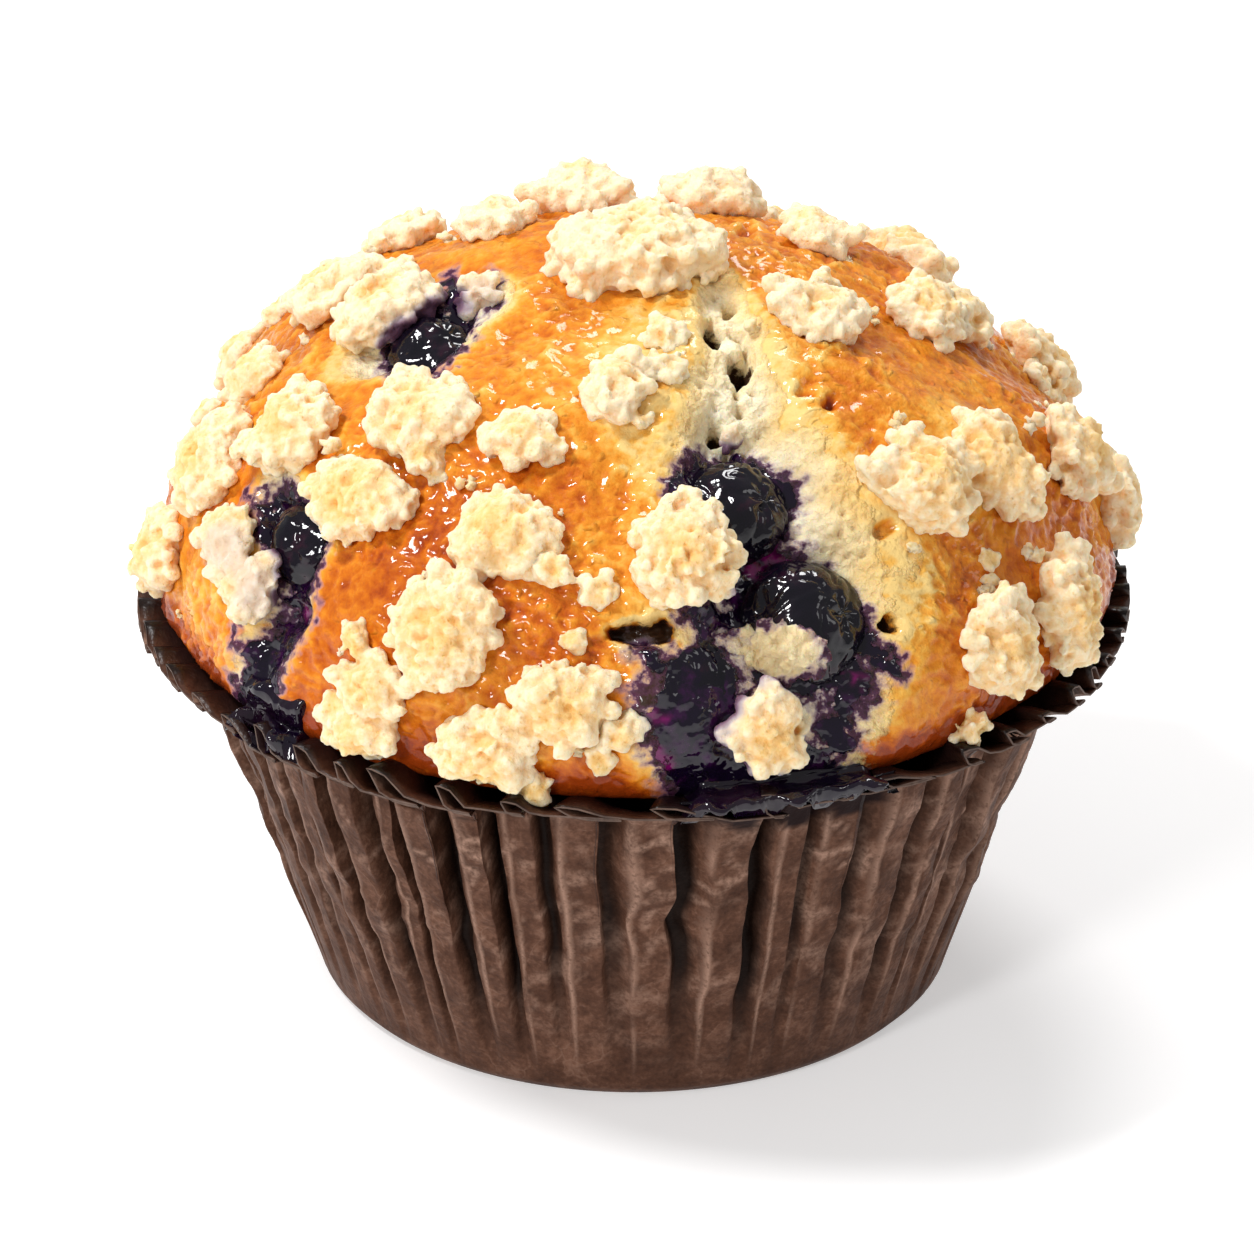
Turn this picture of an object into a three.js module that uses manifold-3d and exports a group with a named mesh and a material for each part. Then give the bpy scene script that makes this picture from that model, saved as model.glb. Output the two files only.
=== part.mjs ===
// A blueberry crumble muffin standing in its pleated brown paper case.
// Millimetres, +Z up. The origin is the centre of the case's flat underside.
// "around" is an angle about +Z in degrees: 0 faces -Y, the front, and 90 faces +X.
// "up" is an angle on the dome in degrees: 0 at its widest ring and 90 at its top.

import * as THREE from 'three';
import { mergeVertices } from 'three/addons/utils/BufferGeometryUtils.js';
import Module from 'manifold-3d';

const wasm = await Module();
wasm.setup();

// Paper case
const BASE_RADIUS = 25;
const BASE_CORNER = 0.8;
const WALL_SLOPE = 0.285;
const WALL_TOP = 28;
const RIM_RADIUS = 38.1;
const RIM_HEIGHT = 31.2;
const CURL_CORNER_RADIUS = 34.3;
const CURL_CORNER_HEIGHT = 30.9;
const PAPER = 0.6;
const PLEATS = 52;
const PLEAT_DEPTH = 1.7;
const PLEAT_LEAN = 0.4;
const PLEAT_UNEVENNESS = 0.2;
const RIM_SCALLOP = 0.35;

// Muffin
const DOME_RADIUS = 36;
const DOME_RISE = 25.5;
const DOME_SEAT = 33;
const CRUST_EDGE_RADIUS = 34.9;
const CRUST_EDGE_HEIGHT = 32.1;
const CRUST_SWELL = 0.32;
const LIP_RISE = 0.5;
const FACET = 2.95;

// Crumble lumps
const LUMP_LIFT = 0.22;
const LUMP_LOBES = 9;
const LUMP_LOBE_HEIGHT = 0.36;
const LUMP_LOBE_WIDTH = 0.42;
const LUMP_LOBE_SHARE = 0.25;
const LARGE_LUMP = 10;
const LUMP_REACH = 14;
const BACK_LUMPS = 13;

// Clearance between pieces that touch
const GAP = 0.3;

// Where the crust has split. Each split runs down the dome through stations, with how far the
// torn part reaches to the left and to the right of its line there, and how deep it is.
const SPLITS = [
  [
    { around: 75, up: 81, left: 1.0, right: 1.0, depth: 0.8 },
    { around: 50, up: 76, left: 1.9, right: 2.0, depth: 2.4 },
    { around: 27, up: 63, left: 3.0, right: 3.0, depth: 2.8 },
    { around: 22, up: 55, left: 4.4, right: 4.8, depth: 2.6 },
    { around: 20, up: 47, left: 6.4, right: 6.8, depth: 2.6 },
    { around: 21, up: 39, left: 6.0, right: 8.0, depth: 2.8 },
    { around: 22, up: 28, left: 7.5, right: 8.6, depth: 2.6 },
    { around: 18, up: 18, left: 9.0, right: 9.2, depth: 2.0 },
    { around: 16, up: 8, left: 8.5, right: 8.8, depth: 1.3 },
    { around: 15, up: 2, left: 8.0, right: 8.0, depth: 0.6 },
  ],
  [
    { around: -70, up: 54, left: 3.0, right: 2.6, depth: 1.0 },
    { around: -64, up: 61, left: 4.0, right: 3.8, depth: 1.8 },
    { around: -66, up: 70, left: 2.6, right: 2.6, depth: 1.0 },
  ],
  [
    { around: -60, up: 32, left: 1.6, right: 1.8, depth: 0.8 },
    { around: -51, up: 27, left: 3.6, right: 3.8, depth: 1.8 },
    { around: -48, up: 17, left: 2.4, right: 2.8, depth: 1.5 },
    { around: -49, up: 7, left: 2.4, right: 2.4, depth: 1.0 },
    { around: -50, up: 1, left: 2.6, right: 2.6, depth: 0.5 },
  ],
];

// Baked berries. "sunk" is how far the middle of a berry lies under the crust's unbroken line.
const BERRIES = [
  { name: 'blueberry_1', around: 23.4, up: 22.2, across: 9.8, tall: 10, thick: 8.2, sunk: 3.5 },
  { name: 'blueberry_2', around: 17, up: 43, across: 8.6, tall: 8.2, thick: 7.6, sunk: 4.0 },
  { name: 'blueberry_3', around: 7, up: 13, across: 9.4, tall: 8, thick: 5.6, sunk: 2.9 },
  { name: 'blueberry_4', around: -64, up: 61, across: 7.8, tall: 7.4, thick: 6.8, sunk: 3.0 },
  { name: 'blueberry_5', around: -51, up: 27, across: 7.4, tall: 7.2, thick: 6.6, sunk: 2.9 },
];

// Crumble lumps on the top and the front, each with its width round the dome, its length
// down the dome and its thickness.
const FRONT_LUMPS = [
  { around: 7, up: 86, across: 13, tall: 10.5, thick: 6.2 },
  { around: 158, up: 65, across: 9.4, tall: 7, thick: 5.6 },
  { around: -163, up: 66, across: 8.4, tall: 7, thick: 5.4 },
  { around: 117, up: 65, across: 6.4, tall: 5.4, thick: 4 },
  { around: -120, up: 71, across: 6.4, tall: 5.4, thick: 4.2 },
  { around: -98, up: 51, across: 8, tall: 7.4, thick: 4.8 },
  { around: -79, up: 59, across: 8, tall: 8.6, thick: 5 },
  { around: -61, up: 40, across: 7.6, tall: 8, thick: 5 },
  { around: -40, up: 49, across: 8.4, tall: 7.6, thick: 5 },
  { around: -42, up: 36, across: 9.4, tall: 6.6, thick: 4.6 },
  { around: -74, up: 27, across: 8, tall: 8.6, thick: 4.6 },
  { around: -78, up: 9, across: 6.4, tall: 7, thick: 4.6 },
  { around: -61, up: 22, across: 5.6, tall: 5.8, thick: 3.8 },
  { around: -53, up: 17, across: 5.6, tall: 5.4, thick: 3.8 },
  { around: -88, up: 38, across: 6, tall: 6, thick: 4 },
  { around: -17.6, up: 35.6, across: 8.2, tall: 7, thick: 4.6 },
  { around: -22.8, up: 21, across: 9, tall: 8.4, thick: 5.2 },
  { around: -31, up: 10, across: 6, tall: 5, thick: 3.8 },
  { around: -32, up: 3, across: 6.2, tall: 5.4, thick: 4.2 },
  { around: -17, up: 4, across: 7.6, tall: 6.8, thick: 4.6 },
  { around: -8, up: 12.6, across: 7.2, tall: 7, thick: 4.8 },
  { around: 7, up: 33.6, across: 8.5, tall: 8.8, thick: 5.4 },
  { around: 15.4, up: 6.6, across: 6.4, tall: 6.4, thick: 3.8 },
  { around: -4, up: 59, across: 5.4, tall: 6.6, thick: 3.8 },
  { around: -20, up: 50, across: 5.6, tall: 4.8, thick: 3.6 },
  { around: 61, up: 65, across: 7.4, tall: 8, thick: 4.6 },
  { around: 89, up: 53, across: 7.6, tall: 6.2, thick: 4.8 },
  { around: 45, up: 37, across: 8.4, tall: 9.4, thick: 5.4 },
  { around: 59, up: 34, across: 6.2, tall: 9, thick: 4.8 },
  { around: 79, up: 25, across: 6.6, tall: 8.4, thick: 4.6 },
  { around: 47, up: 11, across: 6.4, tall: 9, thick: 4.8 },
  { around: 60, up: 10, across: 6.8, tall: 9.6, thick: 4.6 },
];

// Lumps on the back, spread evenly by turning a golden angle from one to the next
const GOLDEN_TURN = 137.5;
const BACK_START = 96;
const BACK_SPAN = 168;
const BACK_LOWEST = 5;
const BACK_HIGHEST = 56;

// Seeded random numbers, so that every build is the same
function seededRandom(seed) {
  let state = seed;
  return () => {
    state = (state + 0x6d2b79f5) | 0;
    let mixed = Math.imul(state ^ (state >>> 15), 1 | state);
    mixed = (mixed + Math.imul(mixed ^ (mixed >>> 7), 61 | mixed)) ^ mixed;
    return ((mixed ^ (mixed >>> 14)) >>> 0) / 4294967296;
  };
}

function smooth(low, high, value) {
  return THREE.MathUtils.smoothstep(value, low, high);
}

function randomDirection(random) {
  const height = 2 * random() - 1;
  const turn = 2 * Math.PI * random();
  const flat = Math.sqrt(1 - height * height);
  return new THREE.Vector3(flat * Math.cos(turn), flat * Math.sin(turn), height);
}

// A point at a radius and height, at an angle in radians about the axis
function polar(radius, turn, height) {
  return new THREE.Vector3(radius * Math.sin(turn), -radius * Math.cos(turn), height);
}

// Joins rings of points, lowest first, into one closed skin. A ring of one point is a pole.
function stitchRings(rings) {
  const positions = [];
  const starts = [];
  for (const ring of rings) {
    starts.push(positions.length / 3);
    for (const point of ring) {
      positions.push(point.x, point.y, point.z);
    }
  }
  const faces = [];
  for (let level = 0; level + 1 < rings.length; level++) {
    const lowerCount = rings[level].length;
    const upperCount = rings[level + 1].length;
    const lowerAt = (i) => starts[level] + (i % lowerCount);
    const upperAt = (i) => starts[level + 1] + (i % upperCount);
    const lowerSteps = lowerCount > 1 ? lowerCount : 0;
    const upperSteps = upperCount > 1 ? upperCount : 0;
    let low = 0;
    let high = 0;
    while (low < lowerSteps || high < upperSteps) {
      const lowNext = (low + 1) / lowerCount;
      const highNext = (high + 1) / upperCount;
      if (low < lowerSteps && (high >= upperSteps || lowNext <= highNext)) {
        faces.push(lowerAt(low), lowerAt(low + 1), upperAt(high));
        low += 1;
      } else {
        faces.push(lowerAt(low), upperAt(high + 1), upperAt(high));
        high += 1;
      }
    }
  }
  const geometry = new THREE.BufferGeometry();
  geometry.setAttribute('position', new THREE.Float32BufferAttribute(positions, 3));
  geometry.setIndex(faces);
  return geometry;
}

function solidFromGeometry(geometry) {
  return new wasm.Manifold(new wasm.Mesh({
    numProp: 3,
    vertProperties: new Float32Array(geometry.attributes.position.array),
    triVerts: new Uint32Array(geometry.index.array),
  }));
}

function geometryFromSolid(solid) {
  const mesh = solid.getMesh();
  const geometry = new THREE.BufferGeometry();
  geometry.setAttribute('position', new THREE.Float32BufferAttribute(mesh.vertProperties, 3));
  geometry.setIndex([...mesh.triVerts]);
  return geometry;
}

// A ball of even triangles, each of its directions moved to where place puts it
function shapedBall(detail, place) {
  const ball = new THREE.IcosahedronGeometry(1, detail);
  ball.deleteAttribute('normal');
  ball.deleteAttribute('uv');
  const geometry = mergeVertices(ball, 1e-4);
  const points = geometry.attributes.position;
  const direction = new THREE.Vector3();
  for (let i = 0; i < points.count; i++) {
    direction.fromBufferAttribute(points, i).normalize();
    const placed = place(direction);
    points.setXYZ(i, placed.x, placed.y, placed.z);
  }
  return geometry;
}

// The case's profile: its straight wall and its outward curl, as stations that each have a
// point halfway through the pleats, the outward direction there and half the pleats' depth.
function caseStations() {
  const wallTopRadius = BASE_RADIUS + WALL_SLOPE * WALL_TOP - PLEAT_DEPTH / 2;
  const foot = new THREE.Vector2(BASE_RADIUS, BASE_CORNER);
  const wallTop = new THREE.Vector2(wallTopRadius, WALL_TOP);
  const corner = new THREE.Vector2(CURL_CORNER_RADIUS, CURL_CORNER_HEIGHT);
  const rim = new THREE.Vector2(RIM_RADIUS, RIM_HEIGHT);
  const wall = new THREE.LineCurve(foot, wallTop);
  const curl = new THREE.QuadraticBezierCurve(wallTop, corner, rim);
  const places = [
    [wall, 0],
    [wall, 0.3],
    [wall, 0.65],
    [wall, 1],
    [curl, 0.45],
    [curl, 1],
  ];
  return places.map(([curve, share]) => {
    const point = curve.getPoint(share);
    const along = curve.getTangent(share);
    const halfDepth = (PLEAT_DEPTH / 2) * Math.pow(Math.min(point.y / WALL_TOP, 1), 0.8);
    return {
      radius: point.x,
      height: point.y,
      outward: new THREE.Vector2(along.y, -along.x),
      halfDepth: point.y > BASE_CORNER ? halfDepth : 0,
      curl: curve === curl ? share : 0,
    };
  });
}

const STATIONS = caseStations();

// The crests and grooves round the case, one after the other, each with its own angle and
// with how deep it is for its kind
function pleatFolds() {
  const random = seededRandom(21);
  const pitch = (2 * Math.PI) / PLEATS;
  const folds = [];
  for (let pleat = 0; pleat < PLEATS; pleat++) {
    for (const side of [1, -1]) {
      const share = side > 0 ? 0 : PLEAT_LEAN;
      const shift = PLEAT_UNEVENNESS * (random() - 0.5);
      folds.push({
        turn: (pleat + share + shift) * pitch,
        side,
        depth: 1 - PLEAT_UNEVENNESS * random(),
      });
    }
  }
  return folds;
}

function makePaperCase() {
  const folds = pleatFolds();
  const skinRing = (station, inset) => folds.map((fold) => {
    const offset = fold.side * fold.depth * station.halfDepth - inset;
    const scallop = fold.side * RIM_SCALLOP * station.curl;
    const radius = station.radius + station.outward.x * offset + scallop;
    const height = station.height + station.outward.y * offset;
    return polar(radius, fold.turn, height);
  });
  const flatRing = (radius, height) => folds.map((fold) => polar(radius, fold.turn, height));
  const outerRings = STATIONS.map((station) => skinRing(station, 0));
  const innerRings = STATIONS.slice(1).map((station) => skinRing(station, PAPER)).reverse();
  return stitchRings([
    [new THREE.Vector3(0, 0, 0)],
    flatRing(BASE_RADIUS - BASE_CORNER, 0),
    ...outerRings,
    ...innerRings,
    flatRing(BASE_RADIUS - BASE_CORNER - PAPER, PAPER),
    [new THREE.Vector3(0, 0, PAPER)],
  ]);
}

// How far a solid of revolution inside the case has to stay in from a station
function insideCase(station, clearance) {
  const inset = station.halfDepth + PAPER + clearance;
  const radius = station.radius - station.outward.x * inset;
  const height = station.height - station.outward.y * inset;
  return { radius, height };
}

// The dome's plain egg form: a point on it and the direction straight out of it
function domeSpot(around, up) {
  const turn = THREE.MathUtils.degToRad(around);
  const rise = THREE.MathUtils.degToRad(up);
  const flat = Math.cos(rise);
  const point = polar(DOME_RADIUS * flat, turn, DOME_SEAT + DOME_RISE * Math.sin(rise));
  const out = polar(flat / DOME_RADIUS, turn, Math.sin(rise) / DOME_RISE).normalize();
  return { point, out };
}

// Slow swells that keep the crust from being a perfect egg
const SWELLS = (() => {
  const random = seededRandom(5);
  const waves = [];
  for (let i = 0; i < 14; i++) {
    const length = THREE.MathUtils.lerp(9, 26, random());
    const wave = randomDirection(random).multiplyScalar((2 * Math.PI) / length);
    waves.push({ wave, phase: 2 * Math.PI * random() });
  }
  return waves;
})();

function crustSwell(point) {
  const total = SWELLS.reduce((sum, { wave, phase }) => sum + Math.sin(wave.dot(point) + phase), 0);
  return (CRUST_SWELL * total) / 2;
}

const SPLIT_LINES = SPLITS.map((stations) => stations.map((station) => ({
  ...station,
  ...domeSpot(station.around, station.up),
})));

// Where a point lies across a split: how far out of its line as a share of the torn part's
// reach on that side, and how deep the split is there
function acrossSplit(line, point) {
  let nearest = { distance: Infinity, reach: Infinity, depth: 0 };
  for (let i = 0; i + 1 < line.length; i++) {
    const start = line[i];
    const end = line[i + 1];
    const run = end.point.clone().sub(start.point);
    const share = THREE.MathUtils.clamp(
      point.clone().sub(start.point).dot(run) / run.lengthSq(), 0, 1);
    const away = point.clone().sub(start.point.clone().addScaledVector(run, share));
    const distance = away.length();
    if (distance < nearest.distance) {
      const toRight = run.clone().cross(start.out).dot(away) < 0;
      const side = toRight ? 'right' : 'left';
      const width = THREE.MathUtils.lerp(start[side], end[side], share);
      const depth = THREE.MathUtils.lerp(start.depth, end.depth, share);
      nearest = { distance, reach: distance / width, depth };
    }
  }
  return nearest;
}

// How far the crust stands out of the plain egg form: its swells, its splits and their lips
function crustRelief(point) {
  let relief = crustSwell(point);
  for (const line of SPLIT_LINES) {
    const { reach, depth } = acrossSplit(line, point);
    relief -= depth * (1 - smooth(0.35, 1, reach));
    relief += LIP_RISE * smooth(0.8, 1.05, reach) * (1 - smooth(1.1, 1.7, reach));
  }
  return relief;
}

function domeRing(up, grow) {
  const flatRadius = DOME_RADIUS * Math.cos(THREE.MathUtils.degToRad(up));
  const count = Math.max(6, Math.round((2 * Math.PI * flatRadius) / FACET));
  const ring = [];
  for (let i = 0; i < count; i++) {
    const { point, out } = domeSpot((360 * i) / count, up);
    ring.push(point.clone().addScaledVector(out, crustRelief(point) + grow));
  }
  return ring;
}

// The muffin's rings from its foot to its top, all grown outward by the same amount
function muffinRings(grow) {
  const sides = 64;
  const plainRing = ({ radius, height }) => {
    const ring = [];
    for (let i = 0; i < sides; i++) {
      ring.push(polar(radius + grow, (2 * Math.PI * i) / sides, height));
    }
    return ring;
  };
  const footHeight = PAPER + GAP;
  const footRadius = BASE_RADIUS - BASE_CORNER - PAPER - GAP;
  const inCase = STATIONS.slice(1, -1).map((station) => insideCase(station, GAP));
  const rings = [
    [new THREE.Vector3(0, 0, footHeight)],
    plainRing({ radius: footRadius, height: footHeight }),
    ...inCase.map(plainRing),
    plainRing({ radius: CRUST_EDGE_RADIUS, height: CRUST_EDGE_HEIGHT }),
  ];
  const levels = Math.round((Math.PI / 4) * (DOME_RADIUS + DOME_RISE) / (FACET * 0.92));
  for (let level = 0; level < levels; level++) {
    rings.push(domeRing((90 * level) / levels, grow));
  }
  const top = domeSpot(0, 90);
  rings.push([top.point.clone().addScaledVector(top.out, crustRelief(top.point) + grow)]);
  return rings;
}

// Turns a piece's own width, length and height into a place on the dome
function domeFrame(around, up, height) {
  const { point, out } = domeSpot(around, up);
  const turn = THREE.MathUtils.degToRad(around);
  const across = new THREE.Vector3(Math.cos(turn), Math.sin(turn), 0);
  const tall = out.clone().cross(across);
  const middle = point.addScaledVector(out, height);
  return (x, y, z) => middle.clone()
    .addScaledVector(across, x)
    .addScaledVector(tall, y)
    .addScaledVector(out, z);
}

// A baked berry: a slumped ball with a puckered crown, grown outward where it cuts a pocket
function makeBerry({ around, up, across, tall, thick, sunk }, index, grow) {
  const random = seededRandom(300 + index);
  const crown = randomDirection(random);
  crown.z = Math.abs(crown.z) + 0.4;
  crown.normalize();
  const folds = Array.from({ length: 6 }, () => randomDirection(random));
  const frame = domeFrame(around, up, -sunk);
  return shapedBall(2, (direction) => {
    const toCrown = direction.angleTo(crown);
    const pucker = 0.16 * Math.exp(-Math.pow(toCrown / 0.3, 2));
    const wrinkle = folds.reduce(
      (sum, fold, i) => sum + Math.sin(5 * direction.dot(fold) + i), 0);
    const radius = 1 - pucker + 0.012 * wrinkle;
    return frame(
      direction.x * ((across / 2) * radius + grow),
      direction.y * ((tall / 2) * radius + grow),
      direction.z * ((thick / 2) * radius + grow));
  });
}

// A clump of crumble: a flattened ball with lobes all over it
function makeLump({ around, up, across, tall, thick }, index, grow) {
  const random = seededRandom(700 + index);
  const lobes = Array.from({ length: LUMP_LOBES }, () => randomDirection(random));
  const detail = Math.max(across, tall) >= LARGE_LUMP ? 2 : 1;
  const { point } = domeSpot(around, up);
  const frame = domeFrame(around, up, crustRelief(point) + LUMP_LIFT * thick);
  const turned = 2 * Math.PI * random();
  return shapedBall(detail, (direction) => {
    const lobe = Math.max(...lobes.map(
      (toward) => Math.exp(-Math.pow(direction.angleTo(toward) / LUMP_LOBE_WIDTH, 2))));
    const radius = 1 + LUMP_LOBE_HEIGHT * (lobe - LUMP_LOBE_SHARE);
    const spun = direction.clone().applyAxisAngle(new THREE.Vector3(0, 0, 1), turned);
    return frame(
      spun.x * ((across / 2) * radius + grow),
      spun.y * ((tall / 2) * radius + grow),
      spun.z * ((thick / 2) * radius + grow));
  });
}

// The back's lumps: the turn gives the angle, and the height rises from one to the next
function backLumps() {
  const random = seededRandom(88);
  const lumps = [];
  for (let i = 0; i < BACK_LUMPS; i++) {
    const share = (i + 0.5) / BACK_LUMPS;
    const rise = Math.asin(THREE.MathUtils.lerp(
      Math.sin(THREE.MathUtils.degToRad(BACK_LOWEST)),
      Math.sin(THREE.MathUtils.degToRad(BACK_HIGHEST)),
      share));
    const size = THREE.MathUtils.lerp(5.4, 9.6, random());
    lumps.push({
      around: BACK_START + ((i * GOLDEN_TURN) % BACK_SPAN),
      up: THREE.MathUtils.radToDeg(rise),
      across: size,
      tall: size * THREE.MathUtils.lerp(0.8, 1.05, random()),
      thick: size * THREE.MathUtils.lerp(0.5, 0.62, random()),
    });
  }
  return lumps;
}

// Everything under the case's curled brim, which the lumps keep clear of
function belowBrim() {
  const sides = 64;
  const beyond = RIM_RADIUS + 8;
  const below = WALL_TOP - 8;
  const ring = (radius, height) => Array.from(
    { length: sides }, (_, i) => polar(radius, (2 * Math.PI * i) / sides, height));
  const brim = STATIONS.slice(3).map((station) => insideCase(station, GAP)).reverse();
  return stitchRings([
    [new THREE.Vector3(0, 0, below)],
    ring(beyond, below),
    ring(beyond, brim[0].height),
    ...brim.map(({ radius, height }) => ring(radius, height)),
    [new THREE.Vector3(0, 0, brim[brim.length - 1].height)],
  ]);
}

function cutAway(geometry, cutters) {
  let solid = solidFromGeometry(geometry);
  for (const cutter of cutters) {
    solid = solid.subtract(cutter);
  }
  return geometryFromSolid(solid);
}

const BERRY_ROOM = BERRIES.map(
  (berry, index) => solidFromGeometry(makeBerry(berry, index, GAP)));

function makeMuffin() {
  return cutAway(stitchRings(muffinRings(0)), BERRY_ROOM);
}

// Each berry gives way to the ones before it
function makeBerries() {
  return BERRIES.map(
    (berry, index) => cutAway(makeBerry(berry, index, 0), BERRY_ROOM.slice(0, index)));
}

// Each lump is cut to sit on the crust, clear of the brim, the berries and the lumps before it
function makeLumps() {
  const lumps = [...FRONT_LUMPS, ...backLumps()];
  const keepOut = [
    solidFromGeometry(stitchRings(muffinRings(GAP))),
    solidFromGeometry(belowBrim()),
    ...BERRY_ROOM,
  ];
  const before = [];
  return lumps.map((lump, index) => {
    const { point } = domeSpot(lump.around, lump.up);
    const near = before.filter((other) => other.point.distanceTo(point) < LUMP_REACH);
    before.push({ point, room: solidFromGeometry(makeLump(lump, index, GAP)) });
    return cutAway(makeLump(lump, index, 0), [...keepOut, ...near.map((other) => other.room)]);
  });
}

const PAPER_FINISH = new THREE.MeshStandardMaterial({
  color: 0x5c4136,
  roughness: 0.62,
  metalness: 0,
});
const CRUST_FINISH = new THREE.MeshStandardMaterial({
  color: 0xd88a4c,
  roughness: 0.55,
  metalness: 0,
});
const BERRY_FINISH = new THREE.MeshStandardMaterial({
  color: 0x241c28,
  roughness: 0.18,
  metalness: 0,
});
const CRUMBLE_FINISH = new THREE.MeshStandardMaterial({
  color: 0xf4cf98,
  roughness: 0.85,
  metalness: 0,
});

function namedMesh(name, geometry, material) {
  const mesh = new THREE.Mesh(geometry, material);
  mesh.name = name;
  return mesh;
}

const muffin = new THREE.Group();
muffin.add(namedMesh('paper_case', makePaperCase(), PAPER_FINISH));
muffin.add(namedMesh('muffin', makeMuffin(), CRUST_FINISH));
makeBerries().forEach((geometry, index) => {
  muffin.add(namedMesh(BERRIES[index].name, geometry, BERRY_FINISH));
});
makeLumps().forEach((geometry, index) => {
  const number = String(index + 1).padStart(2, '0');
  muffin.add(namedMesh(`crumble_${number}`, geometry, CRUMBLE_FINISH));
});

export default muffin;
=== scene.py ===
# A blueberry crumble muffin in its pleated brown paper case, on a white studio floor.
# Sizes are in millimetres, in the frame's own axes, until a mesh is written in metres.
# "around" is an angle about +Z in degrees: 0 faces -Y, the front, and 90 faces +X.
# "up" is an angle on the dome in degrees: 0 at its widest ring and 90 at its top.

import math
from itertools import product

import bmesh
import bpy
import numpy as np
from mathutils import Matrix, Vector
from mathutils.bvhtree import BVHTree


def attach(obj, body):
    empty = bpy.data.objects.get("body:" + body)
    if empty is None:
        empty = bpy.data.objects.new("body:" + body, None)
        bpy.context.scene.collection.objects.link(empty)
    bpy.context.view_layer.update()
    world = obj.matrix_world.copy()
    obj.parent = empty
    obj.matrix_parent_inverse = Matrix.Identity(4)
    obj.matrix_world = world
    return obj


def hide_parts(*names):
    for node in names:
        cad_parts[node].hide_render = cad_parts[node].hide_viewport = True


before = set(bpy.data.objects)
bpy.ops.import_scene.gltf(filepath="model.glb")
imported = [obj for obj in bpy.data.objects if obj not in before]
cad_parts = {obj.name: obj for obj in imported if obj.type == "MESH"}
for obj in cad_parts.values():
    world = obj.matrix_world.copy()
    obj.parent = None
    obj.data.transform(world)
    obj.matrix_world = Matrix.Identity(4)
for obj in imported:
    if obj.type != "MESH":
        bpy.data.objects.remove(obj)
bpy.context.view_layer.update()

MM = 0.001

# Paper case, as the frame's own
BASE_RADIUS = 25.0
WALL_SLOPE = 0.285
WALL_TOP = 28.0
PLEAT_DEPTH = 1.7
CURL_CORNER = (34.3, 30.9)
RIM = (38.1, 31.2)
PLEATS = 52
PAPER_THICKNESS = 0.14

# Muffin, as the frame's own
DOME_RADIUS = 36.0
DOME_RISE = 25.5
DOME_SEAT = 33.0
CRUST_SWELL = 0.32
LIP_RISE = 0.22
SWELL_WAVES = 14
SWELL_SHORT = 9
SWELL_LONG = 26

# Where the crust has split, as in the frame. Each station of a split is (around, up, left,
# right, depth): how far the torn part reaches to the left and the right of its line, and how deep.
SPLITS = {
    "front": [
        (75, 81, 1.0, 1.0, 0.8), (50, 76, 1.9, 2.0, 2.4), (27, 63, 3.0, 3.0, 2.8),
        (22, 55, 4.4, 4.8, 2.6), (20, 47, 6.4, 6.8, 2.6), (21, 39, 6.0, 8.0, 2.8),
        (22, 28, 7.5, 8.6, 2.6), (18, 18, 9.0, 9.2, 2.0), (16, 8, 8.5, 8.8, 1.3),
        (15, 2, 8.0, 8.0, 0.6),
    ],
    "upper left": [(-70, 54, 3.0, 2.6, 1.0), (-64, 61, 4.0, 3.8, 1.8), (-66, 70, 2.6, 2.6, 1.0)],
    "left": [
        (-60, 32, 1.6, 1.8, 0.8), (-51, 27, 3.6, 3.8, 1.8), (-48, 17, 2.4, 2.8, 1.5),
        (-49, 7, 2.4, 2.4, 1.0), (-50, 1, 2.6, 2.6, 0.5),
    ],
}

# The photograph's camera, and the pixel of its frame that shows the point it is aimed by
PHOTO_SIZE = 1254
SENSOR = 36.0
LENS = 149.66
CAMERA_TARGET = np.array([0.0, 0.0, 35.0])
CAMERA_DISTANCE = 400.0
CAMERA_ELEVATION = 25.25
AIM_LEFT = 0.52
AIM_DOWN = 6.96

# Where the light that makes the highlights stands, and all the lights, as (name, place, what it
# is aimed at, size, watts)
KEY_PLACE = (-210, -60, 400)
LIGHTS = [
    ("key", KEY_PLACE, (0, 0, 30), 80, 1.1),
    ("top", (60, 250, 400), (0, 0, 40), 150, 0.9),
    ("front", (-240, -370, 250), (0, 0, 35), 90, 0.8),
    ("right", (380, -60, 300), (0, 0, 45), 150, 0.15),
]
WORLD_STRENGTH = 0.34
FLOOR_HALF = 3000.0
FLOOR_COLOUR = (0.80, 0.79, 0.79)
FLOOR_GLOW = 0.40

# Patches of the front seen in the photograph, as (x, y, radius) in its own pixels
JUICE_SPOTS = {
    "round the upper berry": [(724, 490, 48), (754, 496, 48), (690, 470, 12), (752, 452, 16)],
    "between the two berries": [(762, 548, 20), (745, 580, 22), (716, 626, 22), (692, 612, 10),
                                (784, 536, 14), (798, 556, 13)],
    "round the large berry": [(800, 628, 70), (852, 610, 18), (866, 640, 16), (852, 690, 20)],
    "pool under it": [(706, 690, 42), (676, 722, 32), (690, 758, 30), (735, 760, 36), (800, 770, 32)],
    "right of the pool": [(836, 744, 14), (838, 715, 13), (884, 664, 9), (655, 660, 12)],
    "over the brim": [(690, 796, 20), (740, 800, 26), (790, 800, 26), (828, 794, 20), (846, 788, 10)],
    "round the upper left berry": [(422, 330, 38), (394, 352, 16), (455, 300, 14)],
    "round the left berry": [(288, 532, 28), (270, 505, 11), (284, 497, 10), (318, 540, 8)],
    "down from the left berry": [(293, 575, 17), (290, 605, 16), (278, 630, 15),
                                 (266, 655, 17), (262, 685, 19), (262, 712, 20)],
}
DRY_ISLAND = (765, 650, 30)
DRY_STRETCH = 1.25
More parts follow.
